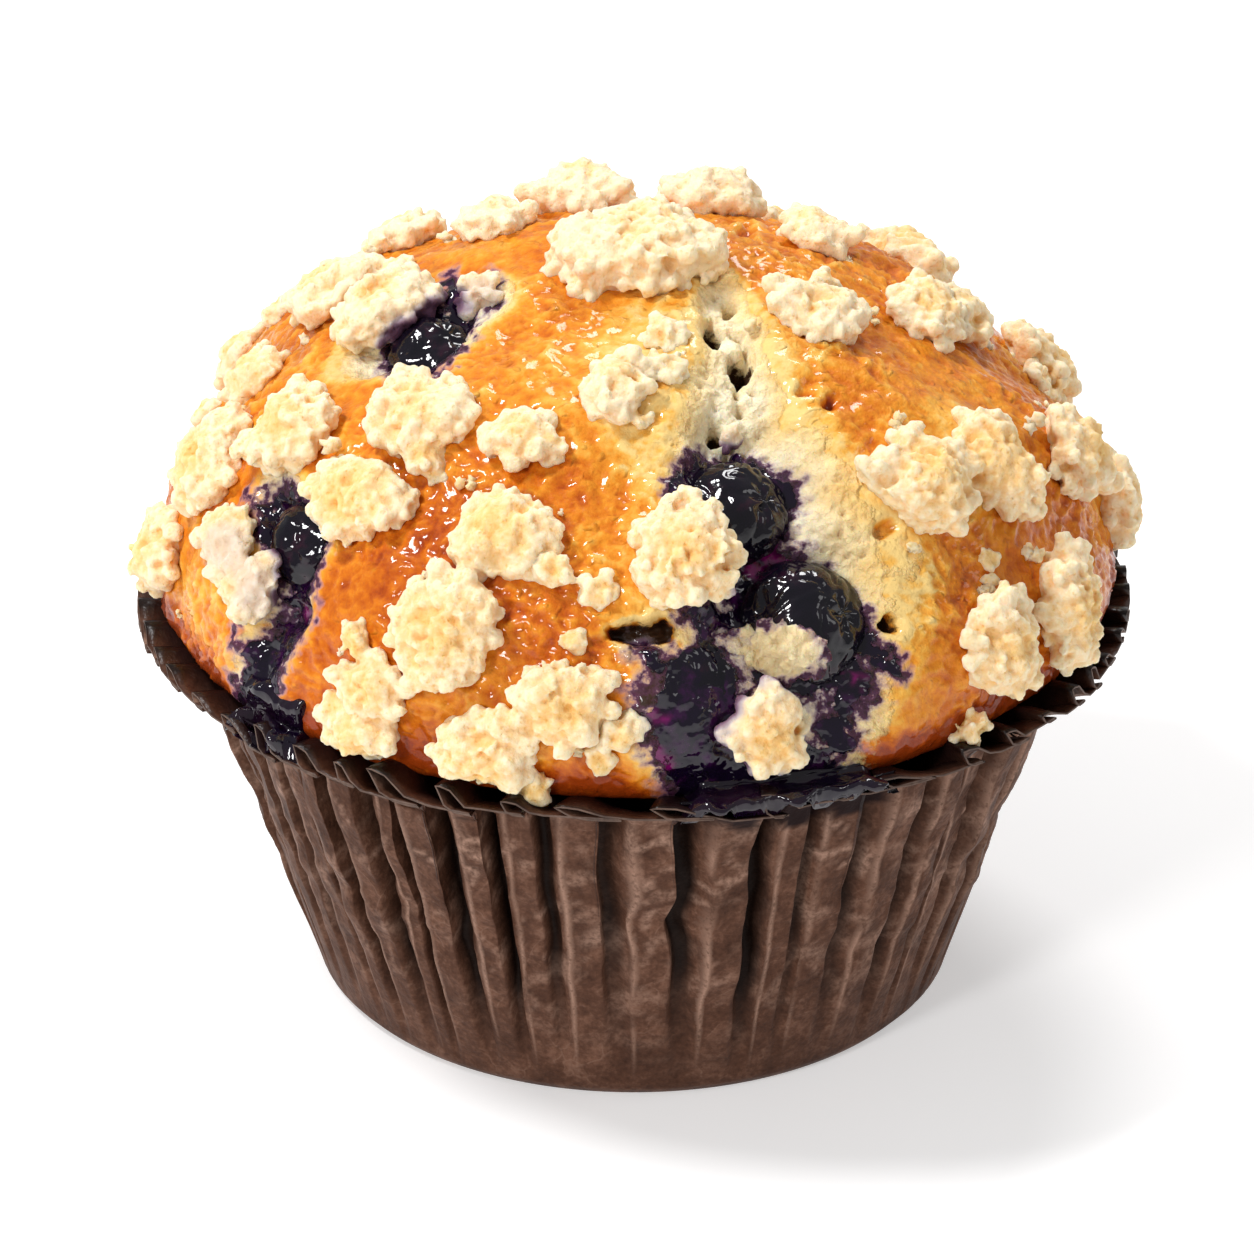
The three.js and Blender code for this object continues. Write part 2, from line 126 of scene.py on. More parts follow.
BRIGHT_JUICE = [(800, 550, 10), (786, 540, 11), (770, 558, 8), (700, 520, 7), (655, 712, 7), (846, 560, 6),
                (858, 684, 7), (866, 716, 6), (660, 760, 6), (292, 612, 5)]

# Where the torn part lies deep, round the berries. Elsewhere its crumb swells up again.
DEEP_SPOTS = {
    "front": [(740, 490, 84), (805, 632, 98), (718, 715, 96), (800, 745, 98)],
    "left": [(420, 332, 56), (290, 530, 46), (275, 640, 40), (262, 720, 30)],
}
PLUMPNESS = 0.62
STAIN_SPOTS = {
    "fringe of the front pool": [(650, 690, 22), (652, 740, 20), (664, 776, 16), (884, 668, 16),
                                 (866, 702, 17), (850, 742, 14), (838, 566, 14), (800, 470, 14),
                                 (812, 540, 14), (640, 650, 14), (690, 560, 12)],
    "fringe of the upper left berry": [(374, 358, 11), (492, 292, 14), (472, 318, 13)],
    "fringe of the left berry": [(238, 525, 15), (312, 560, 11), (308, 600, 12), (258, 588, 16),
                                 (240, 640, 11), (292, 640, 12), (234, 572, 12), (326, 540, 9)],
}

# How golden or brown the crust is, as (x, y, radius, browning): below 0 pale, above 0 dark
CRUST_TONES = {
    "pale by the split": [(640, 420, 70, -0.55), (660, 330, 50, -0.5), (610, 560, 50, -0.2)],
    "golden lips": [(790, 360, 40, -0.25), (900, 560, 36, -0.35), (920, 620, 24, -0.1)],
    "front right": [(935, 690, 60, 0.08), (900, 750, 40, 0.1), (1000, 720, 50, 0.0)],
    "brown left": [(430, 560, 90, 0.2), (560, 470, 60, 0.1), (330, 640, 70, 0.12)],
    "gold left": [(500, 380, 70, -0.15), (560, 640, 50, 0.15), (400, 730, 50, 0.1)],
    "brown right": [(930, 380, 110, -0.04), (850, 250, 70, 0.02), (1050, 520, 60, 0.12)],
    "gold right": [(960, 470, 50, -0.28), (940, 760, 50, -0.05), (1010, 640, 60, 0.05)],
    "pale left edge": [(190, 600, 50, -0.15), (230, 680, 40, -0.12), (350, 440, 40, -0.1)],
}


# Seeded random numbers, drawn in the same way as the frame's own swells
def seeded_random(seed):
    state = seed

    def draw():
        nonlocal state
        state = (state + 0x6D2B79F5) & 0xFFFFFFFF
        mixed = ((state ^ (state >> 15)) * (1 | state)) & 0xFFFFFFFF
        mixed = ((mixed + ((mixed ^ (mixed >> 7)) * (61 | mixed) & 0xFFFFFFFF)) & 0xFFFFFFFF) ^ mixed
        return ((mixed ^ (mixed >> 14)) & 0xFFFFFFFF) / 4294967296

    return draw


def random_direction(draw):
    height = 2 * draw() - 1
    turn = 2 * math.pi * draw()
    flat = math.sqrt(1 - height * height)
    return np.array([flat * math.cos(turn), flat * math.sin(turn), height])


def about_axis(radius, turn, height):
    """Points at a radius from the axis, a turn from the front toward +X, and a height."""
    spots = np.broadcast_arrays(radius * np.sin(turn), -radius * np.cos(turn), height)
    return np.stack(spots, axis=-1)


def smoothstep(low, high, value):
    share = np.clip((value - low) / (high - low), 0, 1)
    return share * share * (3 - 2 * share)


def unit(vectors):
    return vectors / np.maximum(np.linalg.norm(vectors, axis=-1, keepdims=True), 1e-12)


# Noise on rows of points
def lattice_code(cells, seed):
    mixed = (cells[..., 0] * 0x8DA6B343) ^ (cells[..., 1] * 0xD8163841) ^ (cells[..., 2] * 0xCB1AB31F)
    mixed = (mixed ^ (seed * 0x9E3779B9)) & 0xFFFFFFFF
    mixed = ((mixed ^ (mixed >> 15)) * 0x2C1B3C6D) & 0xFFFFFFFF
    mixed = ((mixed ^ (mixed >> 12)) * 0x297A2D39) & 0xFFFFFFFF
    return mixed ^ (mixed >> 15)


def code_vector(code):
    x = (code & 0x3FF) / 1023.0
    y = ((code >> 10) & 0x3FF) / 1023.0
    z = ((code >> 20) & 0x3FF) / 1023.0
    return np.stack([x, y, z], axis=-1)


def noise(points, size, seed=0):
    """Smooth noise of about -1 to 1, with lumps as large as size."""
    scaled = points / size
    cells = np.floor(scaled).astype(np.int64)
    local = scaled - cells
    fade = local ** 3 * (local * (local * 6 - 15) + 10)
    total = np.zeros(len(points))
    for corner in product((0, 1), repeat=3):
        corner = np.array(corner)
        slope = code_vector(lattice_code(cells + corner, seed)) * 2 - 1
        weight = np.prod(np.where(corner, fade, 1 - fade), axis=-1)
        total += weight * np.sum(slope * (local - corner), axis=-1)
    return total * 1.4


def fractal(points, size, octaves, seed=0):
    total = np.zeros(len(points))
    for octave in range(octaves):
        total += 0.5 ** octave * noise(points, size / 2 ** octave, seed + octave)
    return total


def warped(points, size, amount, seed=0):
    shift = np.stack([noise(points, size, seed + axis) for axis in range(3)], axis=-1)
    return points + amount * shift


def cell_distance(points, size, seed=0):
    """Distance to the nearest of points scattered one to a cell, as a share of size."""
    scaled = points / size
    cells = np.floor(scaled).astype(np.int64)
    nearest = np.full(len(points), 9.0)
    for step in product((-1, 0, 1), repeat=3):
        cell = cells + np.array(step)
        middle = cell + code_vector(lattice_code(cell, seed))
        nearest = np.minimum(nearest, np.linalg.norm(scaled - middle, axis=-1))
    return nearest


# The photograph's camera
def camera_axes():
    rise = math.radians(CAMERA_ELEVATION)
    back = np.array([0.0, -math.cos(rise), math.sin(rise)])
    right = np.array([1.0, 0.0, 0.0])
    up = np.cross(back, right)
    place = CAMERA_TARGET + back * CAMERA_DISTANCE
    aim = CAMERA_TARGET - right * AIM_LEFT - up * AIM_DOWN
    look = unit(aim - place)
    side = unit(np.cross(look, np.array([0.0, 0.0, 1.0])))
    return place, look, side, np.cross(side, look)


CAMERA_PLACE, CAMERA_LOOK, CAMERA_SIDE, CAMERA_UP = camera_axes()


def photo_pixels(points):
    """Where points show in the photograph, in its own pixels."""
    away = points - CAMERA_PLACE
    depth = away @ CAMERA_LOOK
    scale = LENS / SENSOR * PHOTO_SIZE / depth
    x = PHOTO_SIZE / 2 + scale * (away @ CAMERA_SIDE)
    y = PHOTO_SIZE / 2 - scale * (away @ CAMERA_UP)
    return np.stack([x, y], axis=-1)


def facing_photo(points, outs):
    toward = unit(CAMERA_PLACE - points)
    return smoothstep(0.0, 0.2, np.sum(toward * outs, axis=-1))


# The dome
def dome_spots(around, up):
    """Points on the dome's plain egg form and the directions straight out of it."""
    turn = np.radians(around)
    rise = np.radians(up)
    point = about_axis(DOME_RADIUS * np.cos(rise), turn, DOME_SEAT + DOME_RISE * np.sin(rise))
    return point, dome_out(point)


def dome_out(points):
    out = np.stack([points[..., 0] / DOME_RADIUS ** 2,
                    points[..., 1] / DOME_RADIUS ** 2,
                    np.maximum(points[..., 2] - DOME_SEAT, 0) / DOME_RISE ** 2], axis=-1)
    return unit(out)


def height_over_dome(points):
    level = np.hypot(points[..., 0], points[..., 1]) / DOME_RADIUS
    rise = np.maximum(points[..., 2] - DOME_SEAT, 0) / DOME_RISE
    size = np.hypot(level, rise)
    return (1 - 1 / size) * np.hypot(level * DOME_RADIUS, rise * DOME_RISE)


def make_swells():
    draw = seeded_random(5)
    waves = []
    for _ in range(SWELL_WAVES):
        length = SWELL_SHORT + (SWELL_LONG - SWELL_SHORT) * draw()
        wave = random_direction(draw) * (2 * math.pi / length)
        waves.append((wave, 2 * math.pi * draw()))
    return waves


SWELLS = make_swells()


def crust_swell(points):
    total = sum(np.sin(points @ wave + phase) for wave, phase in SWELLS)
    return CRUST_SWELL * total / 2


def across_split(stations, points):
    """For each point: its distance out of a split's line as a share of the torn part's reach,
    the split's depth, how far along the line it is, from 0 to 1, and the plain distance."""
    nearest = np.full(len(points), np.inf)
    reach = np.full(len(points), np.inf)
    depth = np.zeros(len(points))
    along = np.zeros(len(points))
    places = [dome_spots(np.array(station[0]), np.array(station[1])) for station in stations]
    for i in range(len(stations) - 1):
        start, start_out = places[i]
        run = places[i + 1][0] - start
        share = np.clip((points - start) @ run / (run @ run), 0, 1)
        away = points - start - share[:, None] * run
        distance = np.linalg.norm(away, axis=-1)
        to_right = away @ np.cross(run, start_out) < 0
        left, right, deep = (low + (high - low) * share
                             for low, high in zip(stations[i][2:], stations[i + 1][2:]))
        width = np.where(to_right, right, left)
        closer = distance < nearest
        nearest = np.where(closer, distance, nearest)
        reach = np.where(closer, distance / width, reach)
        depth = np.where(closer, deep, depth)
        along = np.where(closer, (i + share) / (len(stations) - 1), along)
    return reach, depth, along, nearest


def crust_relief(points, plump):
    relief = crust_swell(points)
    for stations in SPLITS.values():
        reach, depth, _, _ = across_split(stations, points)
        relief = relief - depth * (1 - PLUMPNESS * plump) * (1 - smoothstep(0.35, 1, reach))
        lip = smoothstep(0.8, 1.05, reach) * (1 - smoothstep(1.1, 1.7, reach))
        relief = relief + LIP_RISE * lip
    return relief


# Patches painted where the photograph shows them
def pixel_distance(pixels, spot):
    return np.hypot(pixels[:, 0] - spot[0], pixels[:, 1] - spot[1])


def stirred(pixels, amount, field, points, seeds, *settings):
    """Pixels moved by up to about amount, by two fields of noise over the points."""
    return pixels + amount * np.stack([field(points, *settings, seed) for seed in seeds], axis=-1)


def patch(pixels, spots, softness):
    """1 inside any of the round patches, falling to 0 over a soft edge."""
    best = np.zeros(len(pixels))
    for spot in (spot for group in spots.values() for spot in group):
        distance = pixel_distance(pixels, spot)
        best = np.maximum(best, 1 - smoothstep(spot[2] - softness, spot[2] + softness, distance))
    return best


# Meshes
def make_object(name, points, faces, materials, attributes=None, smooth=True):
    mesh = bpy.data.meshes.new(name)
    mesh.from_pydata((points * MM).tolist(), [], [list(face) for face in faces])
    for material in materials:
        mesh.materials.append(material)
    add_attributes(mesh, attributes or {})
    if smooth:
        mesh.shade_smooth()
    mesh.validate()
    piece = bpy.data.objects.new(name, mesh)
    bpy.context.scene.collection.objects.link(piece)
    return piece


def ball(subdivisions):
    """Points and triangles of an even ball of radius 1."""
    shape = bmesh.new()
    bmesh.ops.create_icosphere(shape, subdivisions=subdivisions, radius=1)
    points = np.array([vert.co[:] for vert in shape.verts])
    faces = np.array([[vert.index for vert in face.verts] for face in shape.faces])
    shape.free()
    return points, faces


def add_attributes(mesh, values_by_name):
    for key, values in values_by_name.items():
        attribute = mesh.attributes.new(key, "FLOAT", "POINT")
        everywhere = np.broadcast_to(np.asarray(values, dtype=np.float32), len(mesh.vertices))
        attribute.data.foreach_set("value", np.ascontiguousarray(everywhere))


def mesh_points(mesh):
    flat = np.empty(len(mesh.vertices) * 3)
    mesh.vertices.foreach_get("co", flat)
    return flat.reshape(-1, 3) / MM


def mesh_normals(mesh):
    flat = np.empty(len(mesh.vertices) * 3)
    mesh.vertex_normals.foreach_get("vector", flat)
    return flat.reshape(-1, 3)


def set_points(mesh, points):
    mesh.vertices.foreach_set("co", (points * MM).ravel())
    mesh.update()


def spread(values, faces, rounds):
    """Values at a mesh's points, each drawn toward its neighbours' mean, some number of times."""
    first = faces.ravel()
    second = np.roll(faces, 1, axis=1).ravel()
    count = np.bincount(first, minlength=len(values)) + np.bincount(second, minlength=len(values))
    for _ in range(rounds):
        total = (np.bincount(first, values[second], len(values))
                 + np.bincount(second, values[first], len(values)))
        values = 0.5 * values + 0.5 * total / np.maximum(count, 1)
    return values


def fuse(piece, voxel):
    """Melts a piece's overlapping shapes into one skin, with faces as large as voxel."""
    remesh = piece.modifiers.new("fuse", "REMESH")
    remesh.mode = "VOXEL"
    remesh.voxel_size = voxel * MM
    depsgraph = bpy.context.evaluated_depsgraph_get()
    fused = bpy.data.meshes.new_from_object(piece.evaluated_get(depsgraph))
    piece.modifiers.clear()
    piece.data = fused


def hollows(points, faces, outs, rounds):
    """How far each point of a mesh lies sunk below its neighbours, in millimetres: below 0 on a knob."""
    drawn = np.stack([spread(points[:, axis], faces, rounds) for axis in range(3)], axis=-1)
    return np.sum((drawn - points) * outs, axis=-1)


def mesh_faces(mesh):
    """The corners of a mesh whose faces are all of one kind."""
    corners = np.empty(len(mesh.loops), dtype=np.int32)
    mesh.loops.foreach_get("vertex_index", corners)
    return corners.reshape(len(mesh.polygons), -1)


# Materials
class Graph:
    """One material's nodes. A value handed to a method is another node's socket, or a plain
    number or colour, and each method gives back the socket that it has made."""

    def __init__(self, name):
        self.material = bpy.data.materials.new(name)
        self.material.use_nodes = True
        self.nodes = self.material.node_tree.nodes
        self.links = self.material.node_tree.links
        self.shader = self.nodes["Principled BSDF"]

    def put(self, socket, value):
        if isinstance(value, bpy.types.NodeSocket):
            self.links.new(value, socket)
        elif socket.type == "RGBA":
            socket.default_value = (*value, 1)
        else:
            socket.default_value = value

    def shade(self, name, value):
        self.put(self.shader.inputs[name], value)

    def node(self, kind, output, inputs, **settings):
        node = self.nodes.new("ShaderNode" + kind)
        for key, value in settings.items():
            setattr(node, key, value)
        for key, value in inputs.items():
            self.put(node.inputs[key], value)
        return node.outputs[output]

    def attribute(self, name):
        return self.node("Attribute", "Fac", {}, attribute_name=name)

    def noise(self, size, detail, roughness, stretch=(1.0, 1.0, 1.0), ridged=False):
        """Noise in the object's own space, with lumps as large as size in millimetres."""
        place = self.node("TexCoord", "Object", {})
        place = self.node("Mapping", "Vector", {"Vector": place, "Scale": stretch})
        return self.node("TexNoise", "Fac", {"Vector": place, "Scale": 1 / (size * MM),
                                             "Detail": detail, "Roughness": roughness},
                         noise_type="RIDGED_MULTIFRACTAL" if ridged else "FBM")

    def cells(self, size, feature, bend_size, bend):
        """Cells as large as size, with their walls bent by noise of bend_size and up to bend."""
        place = self.node("TexCoord", "Object", {})
        shift = self.node("TexNoise", "Color", {"Vector": place, "Scale": 1 / (bend_size * MM),
                                                "Detail": 2.0})
        place = self.node("VectorMath", "Vector", {0: shift, 1: (bend * MM,) * 3, 2: place},
                          operation="MULTIPLY_ADD")
        return self.node("TexVoronoi", "Distance", {"Vector": place, "Scale": 1 / (size * MM)},
                         feature=feature)

    def ramp(self, value, stops):
        """A colour ramp: stops are (place, (red, green, blue)) in linear colour."""
        ramp = self.nodes.new("ShaderNodeValToRGB")
        elements = ramp.color_ramp.elements
        for element, (place, colour) in zip(elements, (stops[0], stops[-1])):
            element.position = place
            element.color = (*colour, 1)
        for place, colour in stops[1:-1]:
            elements.new(place).color = (*colour, 1)
        self.put(ramp.inputs["Fac"], value)
        return ramp.outputs["Color"]

    def mix(self, share, first, second, kind="RGBA"):
        return self.node("Mix", "Result", {"Factor": share, "A": first, "B": second}, data_type=kind)

    def mix_numbers(self, share, first, second):
        return self.mix(share, first, second, "FLOAT")

    def math(self, operation, first, second, clamp=False):
        return self.node("Math", "Value", {0: first, 1: second}, operation=operation,
                         use_clamp=clamp)

    def plus(self, first, second, clamp=False):
        return self.math("ADD", first, second, clamp)

    def minus(self, first, second, clamp=False):
        return self.math("SUBTRACT", first, second, clamp)

    def times(self, first, second, clamp=False):
        return self.math("MULTIPLY", first, second, clamp)

    def remap(self, value, low, high, to_low=0.0, to_high=1.0):
        return self.node("MapRange", "Result", {"Value": value, "From Min": low, "From Max": high,
                                                "To Min": to_low, "To Max": to_high})

    def bump(self, height, distance, strength):
        """Bump from a height socket, with distance in millimetres."""
        return self.node("Bump", "Normal", {"Height": height, "Distance": distance * MM,
                                            "Strength": strength})

    def broken_edge(self, mask, grain, spread, sharpness):
        """A soft mask made crisp, with its edge broken up by a noise of about 0.5."""
        shift = self.remap(grain, 0.25, 0.75, -0.5 - spread, -0.5 + spread)
        return self.plus(self.times(self.plus(mask, shift), sharpness), 0.5, clamp=True)


JUICE_COLOUR = (0.004, 0.001, 0.009)
JUICE_THIN_COLOUR = (0.045, 0.004, 0.052)
JUICE_BRIGHT_COLOUR = (0.20, 0.004, 0.11)


def cake_material():
    graph = Graph("cake")
    grit = graph.noise(0.7, 3.0, 0.6)
    torn = graph.broken_edge(graph.attribute("torn"), grit, 0.22, 4.0)
    wet = graph.broken_edge(graph.attribute("wet"), grit, 0.38, 7.0)
    stain = graph.times(graph.attribute("stain"), graph.remap(grit, 0.3, 0.7, 0.45, 1.45), clamp=True)
    hollow_shade = graph.attribute("hollow_shade")
    tone_and_shade = graph.attribute("tone_and_shade")
    hole_shade = graph.broken_edge(graph.attribute("hole_shade"), grit, 0.30, 4.0)

    gild = graph.attribute("gild")
    mottle = graph.noise(1.7, 3.0, 0.62)
    fleck = graph.noise(0.45, 2.0, 0.6)
    wrinkle = graph.remap(graph.noise(0.95, 2.0, 0.5, ridged=True), 0.2, 1.3)
    tone_and_shade = graph.plus(tone_and_shade, graph.remap(mottle, 0.25, 0.75, -0.20, 0.20))
    tone_and_shade = graph.plus(tone_and_shade, graph.remap(fleck, 0.3, 0.7, -0.06, 0.06))
    tone_and_shade = graph.plus(tone_and_shade, graph.remap(wrinkle, 0.0, 1.0, 0.08, -0.08))
    # Painted shade: the crust is browner in its hollows and paler on its knobs.
    tone_and_shade = graph.plus(tone_and_shade, graph.times(hollow_shade, 0.9))
    crust = graph.ramp(tone_and_shade, [
        (0.0, (0.86, 0.60, 0.22)),
        (0.2, (0.85, 0.44, 0.075)),
        (0.42, (0.78, 0.28, 0.022)),
        (0.66, (0.61, 0.150, 0.008)),
        (0.86, (0.45, 0.080, 0.005)),
        (1.0, (0.30, 0.040, 0.003)),
    ])
    crumb_cloud = graph.noise(2.4, 3.0, 0.6)
    crumb = graph.ramp(crumb_cloud, [
        (0.3, (0.76, 0.62, 0.38)),
        (0.5, (0.86, 0.75, 0.51)),
        (0.72, (0.93, 0.87, 0.67)),
    ])
    golden_crumb = graph.ramp(crumb_cloud, [
        (0.3, (0.85, 0.54, 0.17)),
        (0.72, (0.93, 0.71, 0.33)),
    ])
    crumb = graph.mix(gild, crumb, golden_crumb)
    pore = graph.cells(0.7, "F1", 0.6, 0.5)
    # Painted shade: the torn crumb turns brown in its small pits and in its hollows.
    pore_shade = graph.remap(pore, 0.04, 0.30, 0.6, 0.0)
    pore_shade = graph.plus(pore_shade, graph.times(hollow_shade, 0.8), clamp=True)
    crumb = graph.mix(pore_shade, crumb, (0.64, 0.48, 0.25))
    colour = graph.mix(torn, crust, crumb)
    # Painted shade: near-black brown down the fissure, in the deep holes and on the skirt.
    colour = graph.mix(hole_shade, colour, (0.04, 0.018, 0.009))
    stain_colour = graph.ramp(stain, [
        (0.0, (0.66, 0.54, 0.50)),
        (0.3, (0.34, 0.22, 0.32)),
        (0.55, (0.060, 0.012, 0.058)),
        (1.0, (0.012, 0.004, 0.011)),
    ])
    stain_share = graph.remap(stain, 0.10, 0.50, 0.0, 0.96)
    colour = graph.mix(stain_share, colour, stain_colour)
    juice = graph.mix(graph.remap(mottle, 0.50, 0.76), JUICE_COLOUR, JUICE_THIN_COLOUR)
    juice = graph.mix(graph.attribute("bright"), juice, JUICE_BRIGHT_COLOUR)
    colour = graph.mix(wet, colour, juice)
    graph.shade("Base Color", colour)

    rough = graph.mix_numbers(torn, 0.38, 0.85)
    rough = graph.mix_numbers(wet, rough, 0.04)
    graph.shade("Roughness", rough)

    dry = graph.minus(1.0, wet, clamp=True)
    skin = graph.plus(graph.times(wrinkle, 2.1), graph.times(fleck, 0.5))
    pitted = graph.plus(graph.minus(pore, 0.5), graph.times(grit, 1.7))
    fine = graph.mix_numbers(torn, skin, pitted)
    fine = graph.times(fine, dry)
    ripple = graph.plus(graph.times(graph.noise(2.0, 1.5, 0.45), 2.2),
                        graph.times(graph.noise(0.8, 1.0, 0.4), 0.9))
    ripple = graph.times(wet, ripple)
    fine = graph.plus(fine, ripple)
    graph.shade("Normal", graph.bump(fine, 0.30, 0.9))
    whole = graph.minus(1.0, torn, clamp=True)
    glaze = graph.times(whole, dry)
    glaze = graph.times(glaze, graph.remap(mottle, 0.3, 0.7, 0.35, 0.95))
    graph.shade("Coat Weight", glaze)
    graph.shade("Coat Roughness", 0.08)
    graph.shade("Coat IOR", 1.38)
    level = graph.mix_numbers(wet, 0.05, 0.46)
    graph.shade("Specular IOR Level", level)
    soft = graph.times(torn, dry)
    graph.shade("Subsurface Weight", graph.mix_numbers(soft, 0.0, 0.45))
    graph.shade("Subsurface Radius", (1.0, 0.6, 0.3))
    graph.shade("Subsurface Scale", 1.1 * MM)
    return graph.material


def crumble_material():
    graph = Graph("crumble")
    warm = graph.attribute("warm")
    stain = graph.attribute("stain")
    grain = graph.noise(0.42, 2.0, 0.65)
    pore = graph.cells(0.55, "F1", 0.4, 0.3)
    pore = graph.remap(pore, 0.05, 0.30, 1.0, 0.0)
    cloud = graph.noise(2.6, 3.0, 0.55)
    warm = graph.plus(warm, graph.remap(grain, 0.3, 0.7, -0.12, 0.12))
    warm = graph.plus(warm, graph.remap(cloud, 0.3, 0.7, -0.10, 0.10))
    # Painted shade: the crumble is browner in its small pits.
    warm = graph.plus(warm, graph.times(pore, 0.22))
    colour = graph.ramp(warm, [
        (0.0, (0.93, 0.77, 0.53)),
        (0.25, (0.91, 0.655, 0.35)),
        (0.5, (0.89, 0.575, 0.225)),
        (0.75, (0.82, 0.45, 0.115)),
        (1.0, (0.62, 0.27, 0.05)),
    ])
    stain_colour = graph.ramp(stain, [
        (0.0, (0.74, 0.66, 0.56)),
        (0.4, (0.55, 0.47, 0.47)),
        (0.7, (0.22, 0.13, 0.19)),
        (1.0, (0.05, 0.012, 0.04)),
    ])
    colour = graph.mix(graph.remap(stain, 0.0, 0.4), colour, stain_colour)
    graph.shade("Base Color", colour)
    graph.shade("Roughness", 0.75)
    graph.shade("Specular IOR Level", 0.2)
    rough = graph.minus(grain, graph.times(pore, 0.5))
    graph.shade("Normal", graph.bump(rough, 0.17, 0.8))
    graph.shade("Subsurface Weight", 0.42)
    graph.shade("Subsurface Radius", (1.0, 0.7, 0.38))
    graph.shade("Subsurface Scale", 1.3 * MM)
    return graph.material


def berry_material():
    graph = Graph("blueberry")
    cloud = graph.noise(2.2, 4.0, 0.6)
    colour = graph.ramp(cloud, [
        (0.3, (0.002, 0.002, 0.005)),
        (0.55, (0.005, 0.003, 0.008)),
        (0.75, (0.030, 0.005, 0.016)),
    ])
    graph.shade("Base Color", colour)
    graph.shade("Roughness", graph.remap(cloud, 0.3, 0.7, 0.04, 0.10))
    crease = graph.noise(1.5, 3.0, 0.5)
    graph.shade("Normal", graph.bump(crease, 0.16, 0.6))
    graph.shade("Specular IOR Level", 0.42)
    return graph.material


def juice_material():
    graph = Graph("juice")
    depth = graph.noise(3.0, 3.0, 0.5)
    colour = graph.ramp(depth, [
        (0.4, JUICE_COLOUR),
        (0.66, (0.012, 0.004, 0.010)),
        (0.85, JUICE_THIN_COLOUR),
    ])
    graph.shade("Base Color", colour)
    graph.shade("Roughness", 0.05)
    graph.shade("Specular IOR Level", 0.5)
    ripple = graph.noise(1.8, 1.5, 0.5)
    graph.shade("Normal", graph.bump(ripple, 0.35, 0.8))
    return graph.material


def paper_material(name, greasy):
    graph = Graph(name)
    groove_shade = graph.attribute("groove_shade")
    grease = graph.attribute("grease")
    wear_and_highlight = graph.attribute("wear_and_highlight")
    cloud = graph.noise(3.0, 4.0, 0.7)
    fibre = graph.noise(1.1, 2.0, 0.5, stretch=(1.0, 1.0, 0.7), ridged=True)
    speck = graph.noise(0.4, 2.0, 0.6)
    facet = graph.cells(2.6, "F1", 2.0, 1.6)
    crease = graph.cells(2.6, "DISTANCE_TO_EDGE", 2.0, 1.6)
    shade = graph.plus(graph.times(cloud, 0.7), graph.times(speck, 0.3))
    if greasy:
        stops = [(0.3, (0.029, 0.011, 0.006)), (0.5, (0.056, 0.022, 0.013)), (0.7, (0.112, 0.048, 0.029))]
        light = (0.12, 0.06, 0.04)
    else:
        stops = [(0.32, (0.042, 0.0165, 0.0095)), (0.5, (0.090, 0.039, 0.023)), (0.68, (0.175, 0.084, 0.053))]
        light = (0.36, 0.215, 0.155)
    colour = graph.ramp(shade, stops)
    threads = graph.remap(fibre, 0.95, 1.5, 0.0, 0.7)
    colour = graph.mix(threads, colour, light)
    line = graph.times(graph.remap(crease, 0.0, 0.04, 0.2, 0.0), graph.remap(cloud, 0.50, 0.62))
    colour = graph.mix(line, colour, light)
    from_fold = graph.plus(graph.attribute("from_fold"), graph.remap(speck, 0.3, 0.7, -0.12, 0.12))
    on_fold = graph.times(graph.attribute("fold_wear_and_highlight"), graph.remap(from_fold, 0.05, 0.32, 1.0, 0.0))
    # Pale lines on crumple ridges and pleat folds: partly rubbed wear, partly painted highlight.
    wear_and_highlight = graph.math("MAXIMUM", wear_and_highlight, on_fold)
    rubbed_and_highlit = graph.times(wear_and_highlight, graph.remap(speck, 0.35, 0.6, 0.35, 0.95))
    colour = graph.mix(rubbed_and_highlit, colour, light)
    # Painted shade: the grooves between the pleats turn near-black.
    colour = graph.mix(graph.times(groove_shade, 0.94), colour, (0.007, 0.003, 0.002))
    colour = graph.mix(grease, colour, (0.014, 0.005, 0.005))
    graph.shade("Base Color", colour)
    graph.shade("Roughness", 0.32 if greasy else 0.55)
    graph.shade("Specular IOR Level", 0.2 if greasy else 0.08)
    uneven = graph.plus(shade, graph.times(facet, 0.7))
    graph.shade("Normal", graph.bump(uneven, 0.24, 0.75))
    return graph.material


def edge_material():
    graph = Graph("paper_edge")
    fibre = graph.noise(0.8, 3.0, 0.6)
    colour = graph.ramp(fibre, [
        (0.3, (0.05, 0.026, 0.017)),
        (0.7, (0.14, 0.080, 0.055)),
    ])
    graph.shade("Base Color", colour)
    graph.shade("Roughness", 0.6)
    return graph.material


# Paper case
PLEAT_COLUMNS = 14
FOOT_CORNER = 0.8
WALL_SHARE = 0.78
WALL_ROWS = 54
BRIM_ROWS = 12
FOOT_RINGS = [(24.3, 0.05), (22.0, 0.0), (12.0, 0.0)]
FLUTE_SHARPNESS = 2.8
KINK_LOWEST = 9
KINK_SPAN = 11
KINK_REACH = 2.4
BRIM_JUICE = [(690, 797, 28), (740, 803, 28), (790, 800, 30), (840, 792, 28), (875, 782, 20),
              (262, 730, 26), (285, 745, 16)]


